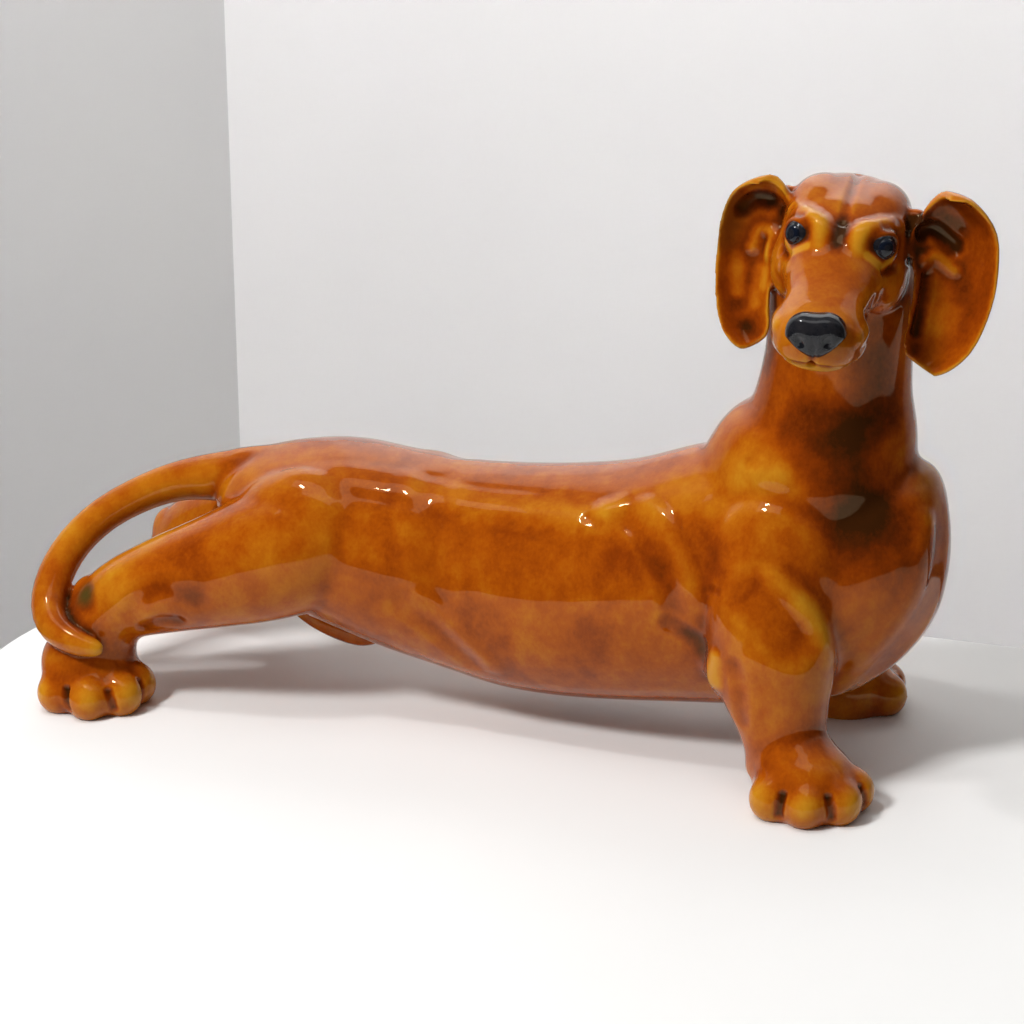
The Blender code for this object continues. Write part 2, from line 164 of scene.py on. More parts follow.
PAW_RADII = (16.5, 16.5, 15.0)
PAW_HEIGHT = 7.0
TOE_RADII = (8.6, 7.9, 8.2)
TOE_HEIGHT = 6.0
# Toes of a right paw, from its centre: forward is +x, outward is -y.
FORE_TOES = [(-7.4, -10.0), (2.6, -11.8), (11.4, -6.6), (13.4, 2.2)]
HIND_TOES = [(-7.0, -10.8), (4.4, -12.8), (12.6, -6.6), (13.0, 2.4)]

# Tail: x, y, height, radius.
TAIL_ROOT = [
    (-96.0, 0.0, 70.0, 14.0),
    (-106.0, -1.5, 72.0, 10.0),
    (-114.7, -3.0, 71.4, 7.9),
]
TAIL = [
    (-100.0, -1.0, 71.0, 10.4),
    (-106.0, -1.5, 71.4, 9.8),
    (-114.7, -3.0, 71.0, 8.5),
    (-126.6, -5.0, 69.2, 7.1),
    (-138.5, -9.0, 65.3, 6.3),
    (-151.0, -17.0, 58.5, 6.0),
    (-159.0, -26.0, 50.0, 6.0),
    (-162.2, -35.0, 41.0, 6.2),
    (-161.0, -43.5, 33.0, 6.0),
    (-155.0, -50.0, 28.2, 5.4),
    (-146.5, -53.0, 25.6, 4.4),
    (-140.0, -53.0, 24.4, 3.2),
    (-137.0, -52.5, 24.0, 1.6),
]
TAIL_SEAM_AT = (-111.5, -2.5, 71.6)
TAIL_SEAM_FACING = (-0.98, -0.16, 0.0)
NECK_SEAM_AT = (97.0, 0.0, 109.0)
NECK_SEAM_FACING = (0.16, 0.0, 0.98)
# Leg seams on the left side; the fore one follows a share of the leg's inward shift.
FORELEG_SEAM_AT = (92.0, 24.5, 15.0)
FORELEG_SEAM_FACING = (0.0, 0.83, -0.55)
FORELEG_SEAM_REACH = 40.0
FORELEG_SEAM_SHARE = 0.65
HIND_LEG_SEAM_AT = (-96.0, 25.0, 45.0)
HIND_LEG_SEAM_FACING = (-0.50, 0.76, -0.40)

# Ears: x, y, height, half width.
RIGHT_EAR = [
    (76.6, -13.0, 189.4, 3.6),
    (75.8, -12.0, 187.6, 7.2),
    (74.0, -10.8, 182.8, 10.2),
    (71.4, -11.0, 174.5, 10.6),
    (69.6, -12.5, 164.0, 9.5),
    (69.2, -14.5, 155.0, 8.6),
    (70.6, -17.0, 147.0, 7.9),
    (73.0, -19.2, 142.4, 6.4),
    (74.4, -20.0, 140.4, 4.2),
]
LEFT_EAR = [
    (126.5, -12.0, 187.0, 5.5),
    (129.0, -10.5, 184.0, 10.2),
    (132.0, -9.5, 176.0, 13.2),
    (133.6, -11.0, 166.0, 12.8),
    (133.2, -13.0, 156.5, 12.0),
    (130.8, -16.0, 147.0, 11.0),
    (127.4, -18.6, 140.8, 8.6),
    (125.4, -20.0, 137.6, 5.6),
]
EAR_HALF_THICKNESS = 1.75
EAR_RIM_SWELL = 0.9
EAR_CUP = 8.5
EAR_SQUARENESS = 0.42
EAR_ROOTS = {"right_ear": (80.0, -7.0, 179.0), "left_ear": (119.5, -7.0, 174.5)}
EAR_ROOT_RADII = (6.0, 4.0, 8.5)


# ---------------------------------------------------------------- modelling helpers

def mirrored(stations, back, inward=0.0):
    """The same stations on the dog's left, set back, and further in towards the sole."""
    rows = []
    for x, y, z, *rest in stations:
        share = min(max((76.0 - z) / 60.0, 0.0), 1.0)
        rows.append((x - back, -y - inward * share, z, *rest))
    return rows


def stance(side):
    """How far a side's fore paw is set back and in, and its hind paw set back."""
    if side < 0.0:
        return 0.0, 0.0, 0.0
    return LEFT_FORELEG_BACK, LEFT_FORELEG_IN, LEFT_HIND_LEG_BACK


def head_axes():
    turn = Matrix.Rotation(HEAD_TURN, 3, "Z")
    nod = Matrix.Rotation(HEAD_NOD, 3, "Y")
    tilt = Matrix.Rotation(-HEAD_TILT, 3, "X")
    return turn @ nod @ tilt


HEAD_AXES = head_axes()


def head_point(forward, side, up):
    """A point given in the turned head's own directions, side positive to its left."""
    return HEAD_CENTRE + HEAD_AXES @ Vector((forward, side, up))


def loft(bm, centres, axes, radii, outline=None):
    """Skin a closed body over loops set along `centres`."""
    loops = []
    for centre, (across, up), (wide, high) in zip(centres, axes, radii):
        loop = []
        for step in range(RING_POINTS):
            angle = 2.0 * math.pi * step / RING_POINTS
            if outline:
                a, b = outline(angle, wide, high)
            else:
                a, b = wide * math.cos(angle), high * math.sin(angle)
            loop.append(bm.verts.new(centre + across * a + up * b))
        loops.append(loop)
    for first, second in zip(loops, loops[1:]):
        for i in range(RING_POINTS):
            j = (i + 1) % RING_POINTS
            bm.faces.new((first[i], first[j], second[j], second[i]))
    for loop in (loops[0], loops[-1]):
        bm.faces.new(loop)


def smooth_line(points, count):
    """Evenly spread points on a Catmull-Rom line through rows of numbers."""
    rows = np.array(points, float)
    padded = np.vstack([2 * rows[0] - rows[1], rows, 2 * rows[-1] - rows[-2]])
    out = []
    for t in np.linspace(0.0, len(rows) - 1.0, count):
        i = min(int(t), len(rows) - 2)
        u = t - i
        a, b, c, d = padded[i:i + 4]
        out.append(0.5 * (2 * b + (c - a) * u + (2 * a - 5 * b + 4 * c - d) * u ** 2
                          + (3 * b - a - 3 * c + d) * u ** 3))
    return np.array(out)


def along(points, index):
    before = points[max(index - 1, 0)]
    after = points[min(index + 1, len(points) - 1)]
    return (after - before).normalized()


def tube(bm, stations, side=(0.0, 1.0, 0.0), fine=3):
    """A tube through stations of centre and one radius, or two for an oval section."""
    rows = smooth_line(stations, (len(stations) - 1) * fine + 1)
    centres = [Vector(row[:3]) for row in rows]
    axes = []
    radii = []
    for index, row in enumerate(rows):
        run = along(centres, index)
        across = Vector(side)
        across = (across - run * across.dot(run)).normalized()
        axes.append((across, run.cross(across)))
        radii.append((max(row[-1], 0.5), max(row[3], 0.5)))
    loft(bm, centres, axes, radii)


def ellipsoid(bm, centre, radii, turn=0.0, axes=None):
    made = bmesh.ops.create_icosphere(bm, subdivisions=4, radius=1.0)
    if axes is None:
        axes = Matrix.Rotation(turn, 3, "Z")
    shape = axes @ Matrix.Diagonal(Vector(radii))
    for vert in made["verts"]:
        vert.co = Vector(centre) + shape @ vert.co


def trunk_rings(bm):
    rows = smooth_line(TRUNK, 3 * len(TRUNK))
    centres = [Vector((x, 0.0, z)) for x, z, _, _ in rows]
    axes = [(Vector((0.0, 1.0, 0.0)), Vector((0.0, 0.0, 1.0)))] * len(rows)
    loft(bm, centres, axes, [(wide, high) for _, _, wide, high in rows])


def head_rings(bm):
    rows = smooth_line(HEAD, 3 * len(HEAD))
    across = HEAD_AXES @ Vector((0.0, 1.0, 0.0))
    up = HEAD_AXES @ Vector((0.0, 0.0, 1.0))
    centres = [head_point(forward, 0.0, height) for forward, height, _, _ in rows]
    radii = [(wide, high) for _, _, wide, high in rows]
    loft(bm, centres, [(across, up)] * len(rows), radii, squared)


def squared(angle, wide, high):
    """An oval with fuller corners."""
    a, b = math.cos(angle), math.sin(angle)
    return (wide * math.copysign(abs(a) ** SQUARE, a), high * math.copysign(abs(b) ** SQUARE, b))


def mesh_object(name, build):
    """Run `build` on an empty bmesh and keep the result, moved and scaled to metres."""
    bm = bmesh.new()
    build(bm)
    shift = Vector(LAYOUT_SHIFT)
    for vert in bm.verts:
        vert.co = (vert.co + shift) * MM
    bm.normal_update()
    bmesh.ops.recalc_face_normals(bm, faces=bm.faces)
    if bm.calc_volume(signed=True) < 0.0:
        bmesh.ops.reverse_faces(bm, faces=bm.faces)
    mesh = bpy.data.meshes.new(name)
    bm.to_mesh(mesh)
    bm.free()
    obj = bpy.data.objects.new(name, mesh)
    bpy.context.scene.collection.objects.link(obj)
    return obj


def bake(obj):
    """Replace an object's mesh with what its modifiers give."""
    graph = bpy.context.evaluated_depsgraph_get()
    baked = bpy.data.meshes.new_from_object(obj.evaluated_get(graph))
    obj.modifiers.clear()
    old = obj.data
    obj.data = baked
    bpy.data.meshes.remove(old)


def melt(obj, voxel, passes):
    """Melt overlapping bodies into one closed skin and soften it."""
    remesh = obj.modifiers.new("melt", "REMESH")
    remesh.mode = "VOXEL"
    remesh.voxel_size = voxel * MM
    if passes:
        smooth = obj.modifiers.new("soften", "SMOOTH")
        smooth.factor = 0.5
        smooth.iterations = passes
    bake(obj)


def join(first, *others):
    """Add the other objects' meshes to the first one's."""
    bm = bmesh.new()
    for obj in (first, *others):
        bm.from_mesh(obj.data)
    bm.to_mesh(first.data)
    bm.free()
    drop(*others)
    return first


def drop(*objects):
    for obj in objects:
        mesh = obj.data
        bpy.data.objects.remove(obj, do_unlink=True)
        bpy.data.meshes.remove(mesh)


def points_of(mesh):
    """A mesh's vertices in layout millimetres."""
    flat = np.empty(len(mesh.vertices) * 3, np.float32)
    mesh.vertices.foreach_get("co", flat)
    return flat.reshape(-1, 3).astype(float) / MM - LAYOUT_SHIFT


def normals_of(mesh):
    flat = np.empty(len(mesh.vertices) * 3, np.float32)
    mesh.vertex_normals.foreach_get("vector", flat)
    return flat.reshape(-1, 3).astype(float)


def set_points(mesh, points):
    mesh.vertices.foreach_set("co", ((points + LAYOUT_SHIFT) * MM).astype(np.float32).ravel())
    mesh.update()


def head_tube(bm, stations, side):
    """A round roll laid through points given in the head's directions."""
    rows = [(*head_point(f, s * side, u), r) for f, s, u, r in stations]
    tube(bm, rows, tuple(HEAD_AXES @ Vector((0.0, 0.0, 1.0))))


# ---------------------------------------------------------------- clay masses

def muscles(bm, side):
    back, inward, hind_back = stance(side)
    ellipsoid(bm, (84.0, 25.0 * side, 68.0), (24.0, 16.5, 27.0))
    ellipsoid(bm, (-76.0, 19.0 * side, HAUNCH_HEIGHT[side]), (27.0, 18.5, 23.0))
    ellipsoid(bm, (72.5 - back, (37.0 - 0.5 * inward) * side, 40.0), (8.0, 8.0, 11.0))
    ellipsoid(bm, (97.0 - back, (44.0 - inward) * side, 13.0), (13.8, 13.8, 12.5))
    ellipsoid(bm, (HOCK_AT[0] - hind_back, HOCK_AT[1] * side, HOCK_AT[2]), (7.0, 7.5, 9.0))
    ellipsoid(bm, (-151.0 - hind_back, 42.0 * side, 13.0), (13.5, 13.5, 14.5))


def paw_centres(side):
    """Where a side's fore and hind paws stand."""
    back, inward, hind_back = stance(side)
    fore = (FORE_PAW_AT[0] - back, -(FORE_PAW_AT[1] + inward) * side)
    hind = (HIND_PAW_AT[0] - hind_back, -HIND_PAW_AT[1] * side)
    return fore, hind


def paw(bm, centre, turn, places, side):
    ellipsoid(bm, (*centre, PAW_HEIGHT), PAW_RADII, -turn * side)
    for ahead, out in places:
        toe = (centre[0] + ahead, centre[1] - out * side, TOE_HEIGHT)
        ellipsoid(bm, toe, TOE_RADII, math.atan2(-out * side, ahead))


def clay(bm):
    trunk_rings(bm)
    tube(bm, NECK)
    head_rings(bm)
    tube(bm, TAIL_ROOT)
    tube(bm, FORELEG, (1.0, 0.0, 0.0))
    tube(bm, mirrored(FORELEG, LEFT_FORELEG_BACK, LEFT_FORELEG_IN), (1.0, 0.0, 0.0))
    tube(bm, HIND_LEG)
    tube(bm, mirrored(HIND_LEG, LEFT_HIND_LEG_BACK))
    for side in (-1.0, 1.0):
        muscles(bm, side)
        fore, hind = paw_centres(side)
        paw(bm, fore, FORE_PAW_TURN, FORE_TOES, side)
        paw(bm, hind, HIND_PAW_TURN, HIND_TOES, side)
        ellipsoid(bm, head_point(10.0, 13.5 * side, -8.0), (13.0, 7.5, 11.5), axes=HEAD_AXES)
        head_tube(bm, BROW, side)
        ellipsoid(bm, head_point(47.0, 6.6 * side, -14.2), (11.5, 7.8, 7.6), axes=HEAD_AXES)
        ellipsoid(bm, head_point(-1.0, 8.6 * side, 5.6), (17.0, 10.5, 10.2), axes=HEAD_AXES)


# ---------------------------------------------------------------- finer forms

def ear_outline(angle, half_width, _):
    """A cupped leaf's section with rolled rims, its open side towards +b."""
    s = -math.cos(angle)
    depth = EAR_CUP * (s * s - 0.5) * half_width / 12.0
    half = EAR_HALF_THICKNESS + EAR_RIM_SWELL * s ** 4
    face = math.sin(angle)
    return half_width * s, depth + half * math.copysign(abs(face) ** EAR_SQUARENESS, face)


def ear(bm, stations, root):
    rows = smooth_line(stations, 24)
    centres = [Vector(row[:3]) for row in rows]
    axes = []
    for index in range(len(rows)):
        run = along(centres, index)
        across = Vector((1.0, 0.0, 0.0))
        across = (across - run * across.dot(run)).normalized()
        axes.append((across, run.cross(across)))
    loft(bm, centres, axes, [(max(row[3], 0.8), 1.0) for row in rows], ear_outline)
    ellipsoid(bm, root, EAR_ROOT_RADII)


def eye_place(side):
    return head_point(EYE_AT[0], EYE_AT[1] * side, EYE_AT[2])


SHEATH = [
    (-90.0, 0.0, 27.0, 3.0),
    (-82.0, 0.0, 23.0, 4.2),
    (-72.0, 0.0, 19.6, 4.6),
    (-64.0, 0.0, 18.4, 4.4),
    (-58.0, 0.0, 20.4, 3.4),
    (-53.0, 0.0, 24.0, 1.6),
]
LID_RADII = (5.1, 3.9)
LID_THICKNESS = (1.35, 1.25)
EYE_OUTWARD = Vector((0.76, 0.60, 0.20)).normalized()


def lid_line(upper):
    """Stations along one lid, in the head's directions on the left side."""
    out = EYE_OUTWARD
    level = Vector((-out.y, out.x, 0.0)).normalized()
    up = out.cross(level)
    if up.z < 0.0:
        up = -up
    rows = []
    for step in range(9):
        swing = math.pi * (step / 8.0 * 1.16 - 0.08)
        rise = math.sin(swing) * (1.0 if upper else -1.0)
        thick = LID_THICKNESS[0 if upper else 1] * (0.62 + 0.38 * abs(math.sin(swing)))
        at = (Vector(EYE_AT) + level * (LID_RADII[0] * math.cos(swing)) + up * (LID_RADII[1] * rise)
              + out * (2.0 - 0.8 * abs(math.cos(swing))))
        rows.append((*at, thick))
    return rows


def face_forms(bm):
    """The lids round each eye."""
    for side in (-1.0, 1.0):
        head_tube(bm, lid_line(True), side)
        head_tube(bm, lid_line(False), side)


def fine_forms(bm):
    tube(bm, SHEATH)
    face_forms(bm)


# ---------------------------------------------------------------- tooling

# Marks on the right side: path of points, reach, height (negative presses in).
# Each is repeated on the left side.
BODY_MARKS = [
    # edge of the back muscle, from the haunch to the shoulder
    ([(-78, -23, 82), (-60, -18.5, 83), (-39, -17, 80.5), (-18, -20.5, 78), (-1, -21.5, 78),
      (17, -25, 77.5), (27, -25, 79.5)], 8.8, 0.78),
    ([(29, -23, 82.5), (32, -22, 83.5)], 6.2, 0.93),
    ([(23, -25, 79), (27, -26.5, 78)], 3.2, -0.5),
    ([(-36, -13, 84), (-34, -20, 78)], 5.0, -0.28),
    # flank between haunch and ribs
    ([(-20, -34, 56), (-14, -35, 50)], 25.0, -1.24),
    ([
        (-37, -33, 46), (-29.5, -33.6, 41),
        (-22.4, -32.2, 34), (-15.5, -29.4, 26.8),
    ], 6.9, -0.93),
    ([(-30, -34, 47), (-22, -33.5, 41), (-15, -32, 34), (-8, -29, 26)], 6.2, 0.56),
    # hollow behind the shoulder blade
    ([(34, -33, 73), (44, -35, 71)], 15.0, -0.6),
    # crease behind the elbow
    ([
        (53, -38.5, 52), (59, -38.5, 49.5), (64, -38.5, 46),
        (67, -39, 40), (68, -38, 33),
    ], 4.5, -0.99),
    ([(70.5, -45, 45), (70.5, -45, 37)], 5.0, 1.1),
    ([(78, -49, 45), (80, -50, 37), (81, -48, 28)], 4.8, -0.81),
    ([(66, -41, 66.5), (71, -41.5, 66)], 2.2, -0.31),
    # leaf-shaped hollow on the shoulder, with the ridge before it
    ([(82, -46, 68), (89, -47, 62), (95, -47, 55)], 10.6, -1.43),
    ([(88, -44, 74), (97, -43, 66), (103.5, -41.5, 57), (106, -40, 48)], 6.2, 0.74),
    ([(86, -49, 47), (96, -48, 44)], 8.1, 0.56),
    # breastbone edges
    ([
        (129, -16, 86), (128.2, -20.3, 69), (121, -24.3, 53),
        (112, -25, 40), (104, -19, 28),
    ], 6.9, 0.93),
    ([(133, -8, 84), (132, -11, 68), (127, -14.5, 52), (117, -15, 38)], 7.5, -0.62),
    # shoulder point
    ([(80, -27.5, 102), (84, -28.5, 101.5)], 7.5, 0.68),
    ([(74, -26, 104), (77, -27, 104)], 3.2, -0.37),
    # rump against the tail
    ([(-103, -7, 80), (-107.5, -11, 75), (-111, -14, 68)], 5.6, -0.55),
    # thigh and hock
    ([
        (-128, -45, 37), (-124, -47, 42.5), (-119, -48.5, 46.5),
        (-112, -48.3, 47.5), (-104, -47, 44),
    ], 6.0, -0.62),
    ([(-131, -45, 41), (-126, -47, 48), (-118, -48, 52), (-108, -48, 51)], 6.5, 0.35),
    ([(-125, -44, 32), (-119, -45, 35), (-113, -44, 35.5)], 4.2, -0.81),
    ([(-146, -46, 41), (-143, -46, 37)], 5.0, -0.68),
]

# The far side is tooled more lightly.
LEFT_SHARE = 0.5

# Steps: the side to the left of the path (seen from outside) rises, the other falls.
BODY_STEPS = [
    ([(-36, -14, 83), (-33, -25.6, 72.4), (-30, -32, 61.3), (-29, -34.5, 48.4)], 12.0, -0.75),
    ([
        (41, -27, 83), (44.6, -29.4, 80.8), (49.9, -34.2, 74.8),
        (55, -37.3, 68), (58, -39, 59),
    ], 9.0, 1.5),
]

# Grooves between the toes, from the paw's centre on the right side.
FORE_GAPS = [(-3.0, -13.6), (8.6, -11.6), (15.8, -2.6)]
HIND_GAPS = [(-1.6, -14.6), (10.6, -12.2), (16.6, -2.4)]
GAP_REACH = 2.2
GAP_DEPTH = -1.25

# Marks on the head in its own directions, repeated with the side's sign turned.
HEAD_MARKS = [
    ([(18, 11.5, 10.2), (12, 15, 9)], 3.0, -0.8),
    ([(24, 12.5, -1.0), (19, 16.5, -1.5)], 2.6, -1.0),
    ([(27, 10.5, -3.5), (21, 15, -6)], 4.0, 0.5),
    ([(32, 12, -9), (42, 12.6, -9)], 6.0, -1.1),
    ([(46, 13.6, -10), (54, 12.6, -9.5)], 4.0, 0.8),
]
MOUTH = [
    (26, 12.0, -20.0), (38, 12.6, -20.0), (50, 12.0, -19.4),
    (56, 9.4, -18.6), (60, 5, -17.8), (61.5, 0, -17.4),
]
HEAD_MIDDLE_MARKS = [
    ([(-16, 0, 15), (-6, 0, 16), (4, 0, 15.5), (12, 0, 14.5), (20, 0, 11.5)], 2.4, -0.75),
    ([(21, 0, 10.5), (26, 0, 6.5)], 3.0, -0.55),
    ([(60, 0, -14), (62, 0, -17)], 1.6, -0.9),
]

# Marks on the ears: recess under the rolled rim, and the fold below it.
EAR_MARKS = [
    ([(69, -13, 179.5), (72, -13, 182), (76, -13, 181.5), (78.5, -13, 177)], 4.4, -1.7),
    ([(70.5, -14, 169), (72, -14, 174), (75, -14, 173.5), (76, -14, 167)], 3.6, 1.5),
    ([(124, -12, 177), (128, -12, 177), (132, -12, 173)], 4.2, -2.0),
    ([(124, -13, 169), (129, -13, 170), (133, -13, 166)], 3.2, 1.3),
    ([(126, -14, 164), (124.5, -15, 156), (123, -17, 148)], 3.4, -1.3),
    ([(133, -15, 158), (131, -16, 150)], 7.0, 1.0),
    ([(68, -15, 160), (69.5, -17, 150)], 6.0, 0.9),
]


def nearest_line(here, line):
    """Distance from each point to a broken line, with the line's own place and run there."""
    best = np.full(len(here), 1e9)
    at = np.zeros_like(here)
    along_it = np.zeros_like(here)
    for a, b in zip(line, line[1:]):
        run = b - a
        t = np.clip((here - a) @ run / max(run @ run, 1e-9), 0.0, 1.0)
        foot = a + t[:, None] * run
        far = np.linalg.norm(here - foot, axis=1)
        closer = far < best
        best[closer] = far[closer]
        at[closer] = foot[closer]
        along_it[closer] = run / max(np.linalg.norm(run), 1e-9)
    return best, at, along_it


class Skin:
    """The skin's points and normals, with the tools that mark them."""

    def __init__(self, mesh):
        self.points = points_of(mesh)
        self.normals = normals_of(mesh)
        faces = [tuple(p.vertices) for p in mesh.polygons]
        self.tree = BVHTree.FromPolygons([Vector(p) for p in self.points], faces)
        self.move = np.zeros(len(self.points))

    def laid(self, path):
        """The path drawn smoothly and laid on the skin."""
        rows = [tuple(self.tree.find_nearest(Vector(p))[0]) for p in path]
        if len(rows) == 1:
            rows = rows * 2
        line = smooth_line(rows, 5 * len(rows))
        return np.array([tuple(self.tree.find_nearest(Vector(p))[0]) for p in line])

    def reached(self, line, reach):
        inside = ((self.points > line.min(0) - reach) & (self.points < line.max(0) + reach)).all(1)
        return np.nonzero(inside)[0]

    def mark(self, path, reach, height):
        line = self.laid(path)
        near = self.reached(line, reach)
        far, _, _ = nearest_line(self.points[near], line)
        weight = np.clip(1.0 - (far / reach) ** 2, 0.0, 1.0) ** 2
        self.move[near] += height * weight

    def step(self, path, reach, height):
        line = self.laid(path)
        near = self.reached(line, reach)
        far, at, run = nearest_line(self.points[near], line)
        across = np.cross(self.normals[near], run)
        signed = ((self.points[near] - at) * across).sum(1) / reach
        weight = np.clip(1.0 - (far / reach) ** 2, 0.0, 1.0) ** 2
        self.move[near] += height * 2.2 * signed * weight

    def mask(self, path, reach):
        """0 to 1 near a path."""
        line = self.laid(path)
        out = np.zeros(len(self.points))
        near = self.reached(line, reach)
        far, _, _ = nearest_line(self.points[near], line)
        out[near] = np.clip(1.0 - (far / reach) ** 2, 0.0, 1.0) ** 1.5
        return out


def turned(path, side):
    """A right-side path, or its likeness on the left."""
    return path if side < 0 else [(x, -y, z) for x, y, z in path]


def in_head(path, side=1.0):
    return [tuple(head_point(f, s * side, u)) for f, s, u in path]


def gap_path(centre, gap, side):
    """Down a paw's front between two toes."""
    ahead, out = gap
    rows = []
    for share, height in ((1.22, 10.5), (1.38, 7.0), (1.45, 2.5)):
        rows.append((centre[0] + ahead * share, centre[1] - out * share * side, height))
    return rows


def tool_marks(mesh):
    """Press and raise the skin's finer drawing."""
    skin = Skin(mesh)
    for side in (-1.0, 1.0):
        for path, reach, height in BODY_MARKS:
            skin.mark(turned(path, side), reach, height * (1.0 if side < 0.0 else LEFT_SHARE))
        for path, reach, height in BODY_STEPS:
            skin.step(turned(path, side), reach, -height * side)
        for path, reach, height in HEAD_MARKS:
            skin.mark(in_head(path, side), reach, height)
        skin.mark(in_head(MOUTH, side), 1.7, -1.3)
        fore, hind = paw_centres(side)
        for centre, gaps in ((fore, FORE_GAPS), (hind, HIND_GAPS)):
            for gap in gaps:
                skin.mark(gap_path(centre, gap, side), GAP_REACH, GAP_DEPTH)
    for path, reach, height in HEAD_MIDDLE_MARKS:
        skin.mark(in_head(path), reach, height)
    for path, reach, height in EAR_MARKS:
        skin.mark(path, reach, height)
    points = skin.points + skin.normals * skin.move[:, None]
    points[:, 2] = np.maximum(points[:, 2], 0.0)
    set_points(mesh, points)


# ---------------------------------------------------------------- parting the skin

def signed_plane(points, at, facing):
    facing = np.array(facing, float)
    facing /= np.linalg.norm(facing)
    return (points - np.array(at)) @ facing


def distance_to(points, tree, reach):
    """Distance of each point to a surface, up to `reach`."""
    out = np.full(len(points), reach)
    for i, point in enumerate(points):
        found = tree.find_nearest(point, reach)
        if found[0] is not None:
            out[i] = found[3]
    return out


def tree_of(obj):
    points = [Vector(p) for p in points_of(obj.data)]
    return BVHTree.FromPolygons(points, [tuple(p.vertices) for p in obj.data.polygons])


def part(points, values, triangles, field):
    """Split triangles where `field` crosses zero.

    Returns the new points, their carried values and the triangles on the negative and
    positive sides.  New points sit on the crossed edges and both sides share them.
    """
    sign = field > 0.0
    count = sign[triangles].sum(1)
    inside = triangles[count == 0]
    outside = triangles[count == 3]
    crossed = triangles[(count == 1) | (count == 2)]
    if not len(crossed):
        return points, values, inside, outside
    edges = {}
    new_points = []
    new_values = []

    def cut(a, b):
        key = (a, b) if a < b else (b, a)
        if key not in edges:
            i, j = key
            t = field[i] / (field[i] - field[j])
            edges[key] = len(points) + len(new_points)
            new_points.append(points[i] * (1.0 - t) + points[j] * t)
            new_values.append(values[i] * (1.0 - t) + values[j] * t)
        return edges[key]

    below = []
    above = []
    for tri in crossed.tolist():
        up = [sign[v] for v in tri]
        lone_is_up = sum(up) == 1
        k = up.index(True) if lone_is_up else up.index(False)
        a, b, c = tri[k], tri[(k + 1) % 3], tri[(k + 2) % 3]
        ab, ac = cut(a, b), cut(a, c)
        lone = [(a, ab, ac)]
        pair = [(ab, b, c), (ab, c, ac)]
        (above if lone_is_up else below).extend(lone)
        (below if lone_is_up else above).extend(pair)
    points = np.vstack([points, new_points])
    values = np.vstack([values, new_values])
    inside = np.vstack([inside, np.array(below, int).reshape(-1, 3)])
    outside = np.vstack([outside, np.array(above, int).reshape(-1, 3)])
    return points, values, inside, outside


def boundary_loops(triangles):
    """Closed loops of the edges that only one triangle uses, in the triangles' order."""
    edges = np.vstack([triangles[:, [0, 1]], triangles[:, [1, 2]], triangles[:, [2, 0]]])
    base = int(edges.max()) + 1
    forward = edges[:, 0].astype(np.int64) * base + edges[:, 1]
    backward = edges[:, 1].astype(np.int64) * base + edges[:, 0]
    open_edges = edges[~np.isin(forward, backward)]
    following = {int(a): int(b) for a, b in open_edges}
    loops = []
    while following:
        start, step = following.popitem()
        loop = [start]
        while step != start and step in following:
            loop.append(step)
            step = following.pop(step)
        loops.append(loop)
    return loops


def piece_object(name, points, values, triangles):
    """A closed piece with fan caps on its seams and the whole skin's normals on its glaze."""
    loops = boundary_loops(triangles)
    caps = []
    extra = []
    for loop in loops:
        centre = len(points) + len(extra)
        extra.append((points[loop].mean(0), values[loop].mean(0)))
        for a, b in zip(loop, loop[1:] + loop[:1]):
            caps.append((b, a, centre))
    if extra:
        points = np.vstack([points, [e[0] for e in extra]])
        values = np.vstack([values, [e[1] for e in extra]])
        everything = np.vstack([triangles, np.array(caps, int)])
    else:
        everything = triangles
    used = np.unique(everything)
    index = np.full(len(points), -1)
    index[used] = np.arange(len(used))
    mesh = bpy.data.meshes.new(name)
    corners = index[everything]
    mesh.vertices.add(len(used))
    set_points(mesh, points[used])
    mesh.loops.add(corners.size)
    mesh.loops.foreach_set("vertex_index", corners.ravel().astype(np.int32))
    mesh.polygons.add(len(corners))
    mesh.polygons.foreach_set("loop_start", np.arange(0, corners.size, 3, dtype=np.int32))
    mesh.polygons.foreach_set("loop_total", np.full(len(corners), 3, np.int32))
    mesh.polygons.foreach_set("use_smooth", np.ones(len(corners), bool))
    mesh.update(calc_edges=True)
    mesh.validate()
    carried = values[used]
    for k, label in enumerate(CARRIED):
        layer = mesh.attributes.new(label, "FLOAT", "POINT")
        layer.data.foreach_set("value", carried[:, 3 + k].astype(np.float32))
    skin_normals = carried[:, :3]
    skin_normals /= np.maximum(np.linalg.norm(skin_normals, axis=1, keepdims=True), 1e-9)
    per_corner = skin_normals[corners.ravel()].reshape(-1, 3, 3)
    if caps:
        flat = np.empty(len(corners) * 3, np.float32)
        mesh.polygon_normals.foreach_get("vector", flat)
        flat = flat.reshape(-1, 3)
        per_corner[len(triangles):] = flat[len(triangles):, None, :]
    mesh.normals_split_custom_set(per_corner.reshape(-1, 3).tolist())
    obj = bpy.data.objects.new(name, mesh)
    bpy.context.scene.collection.objects.link(obj)
    return obj


# ---------------------------------------------------------------- relief of the skin

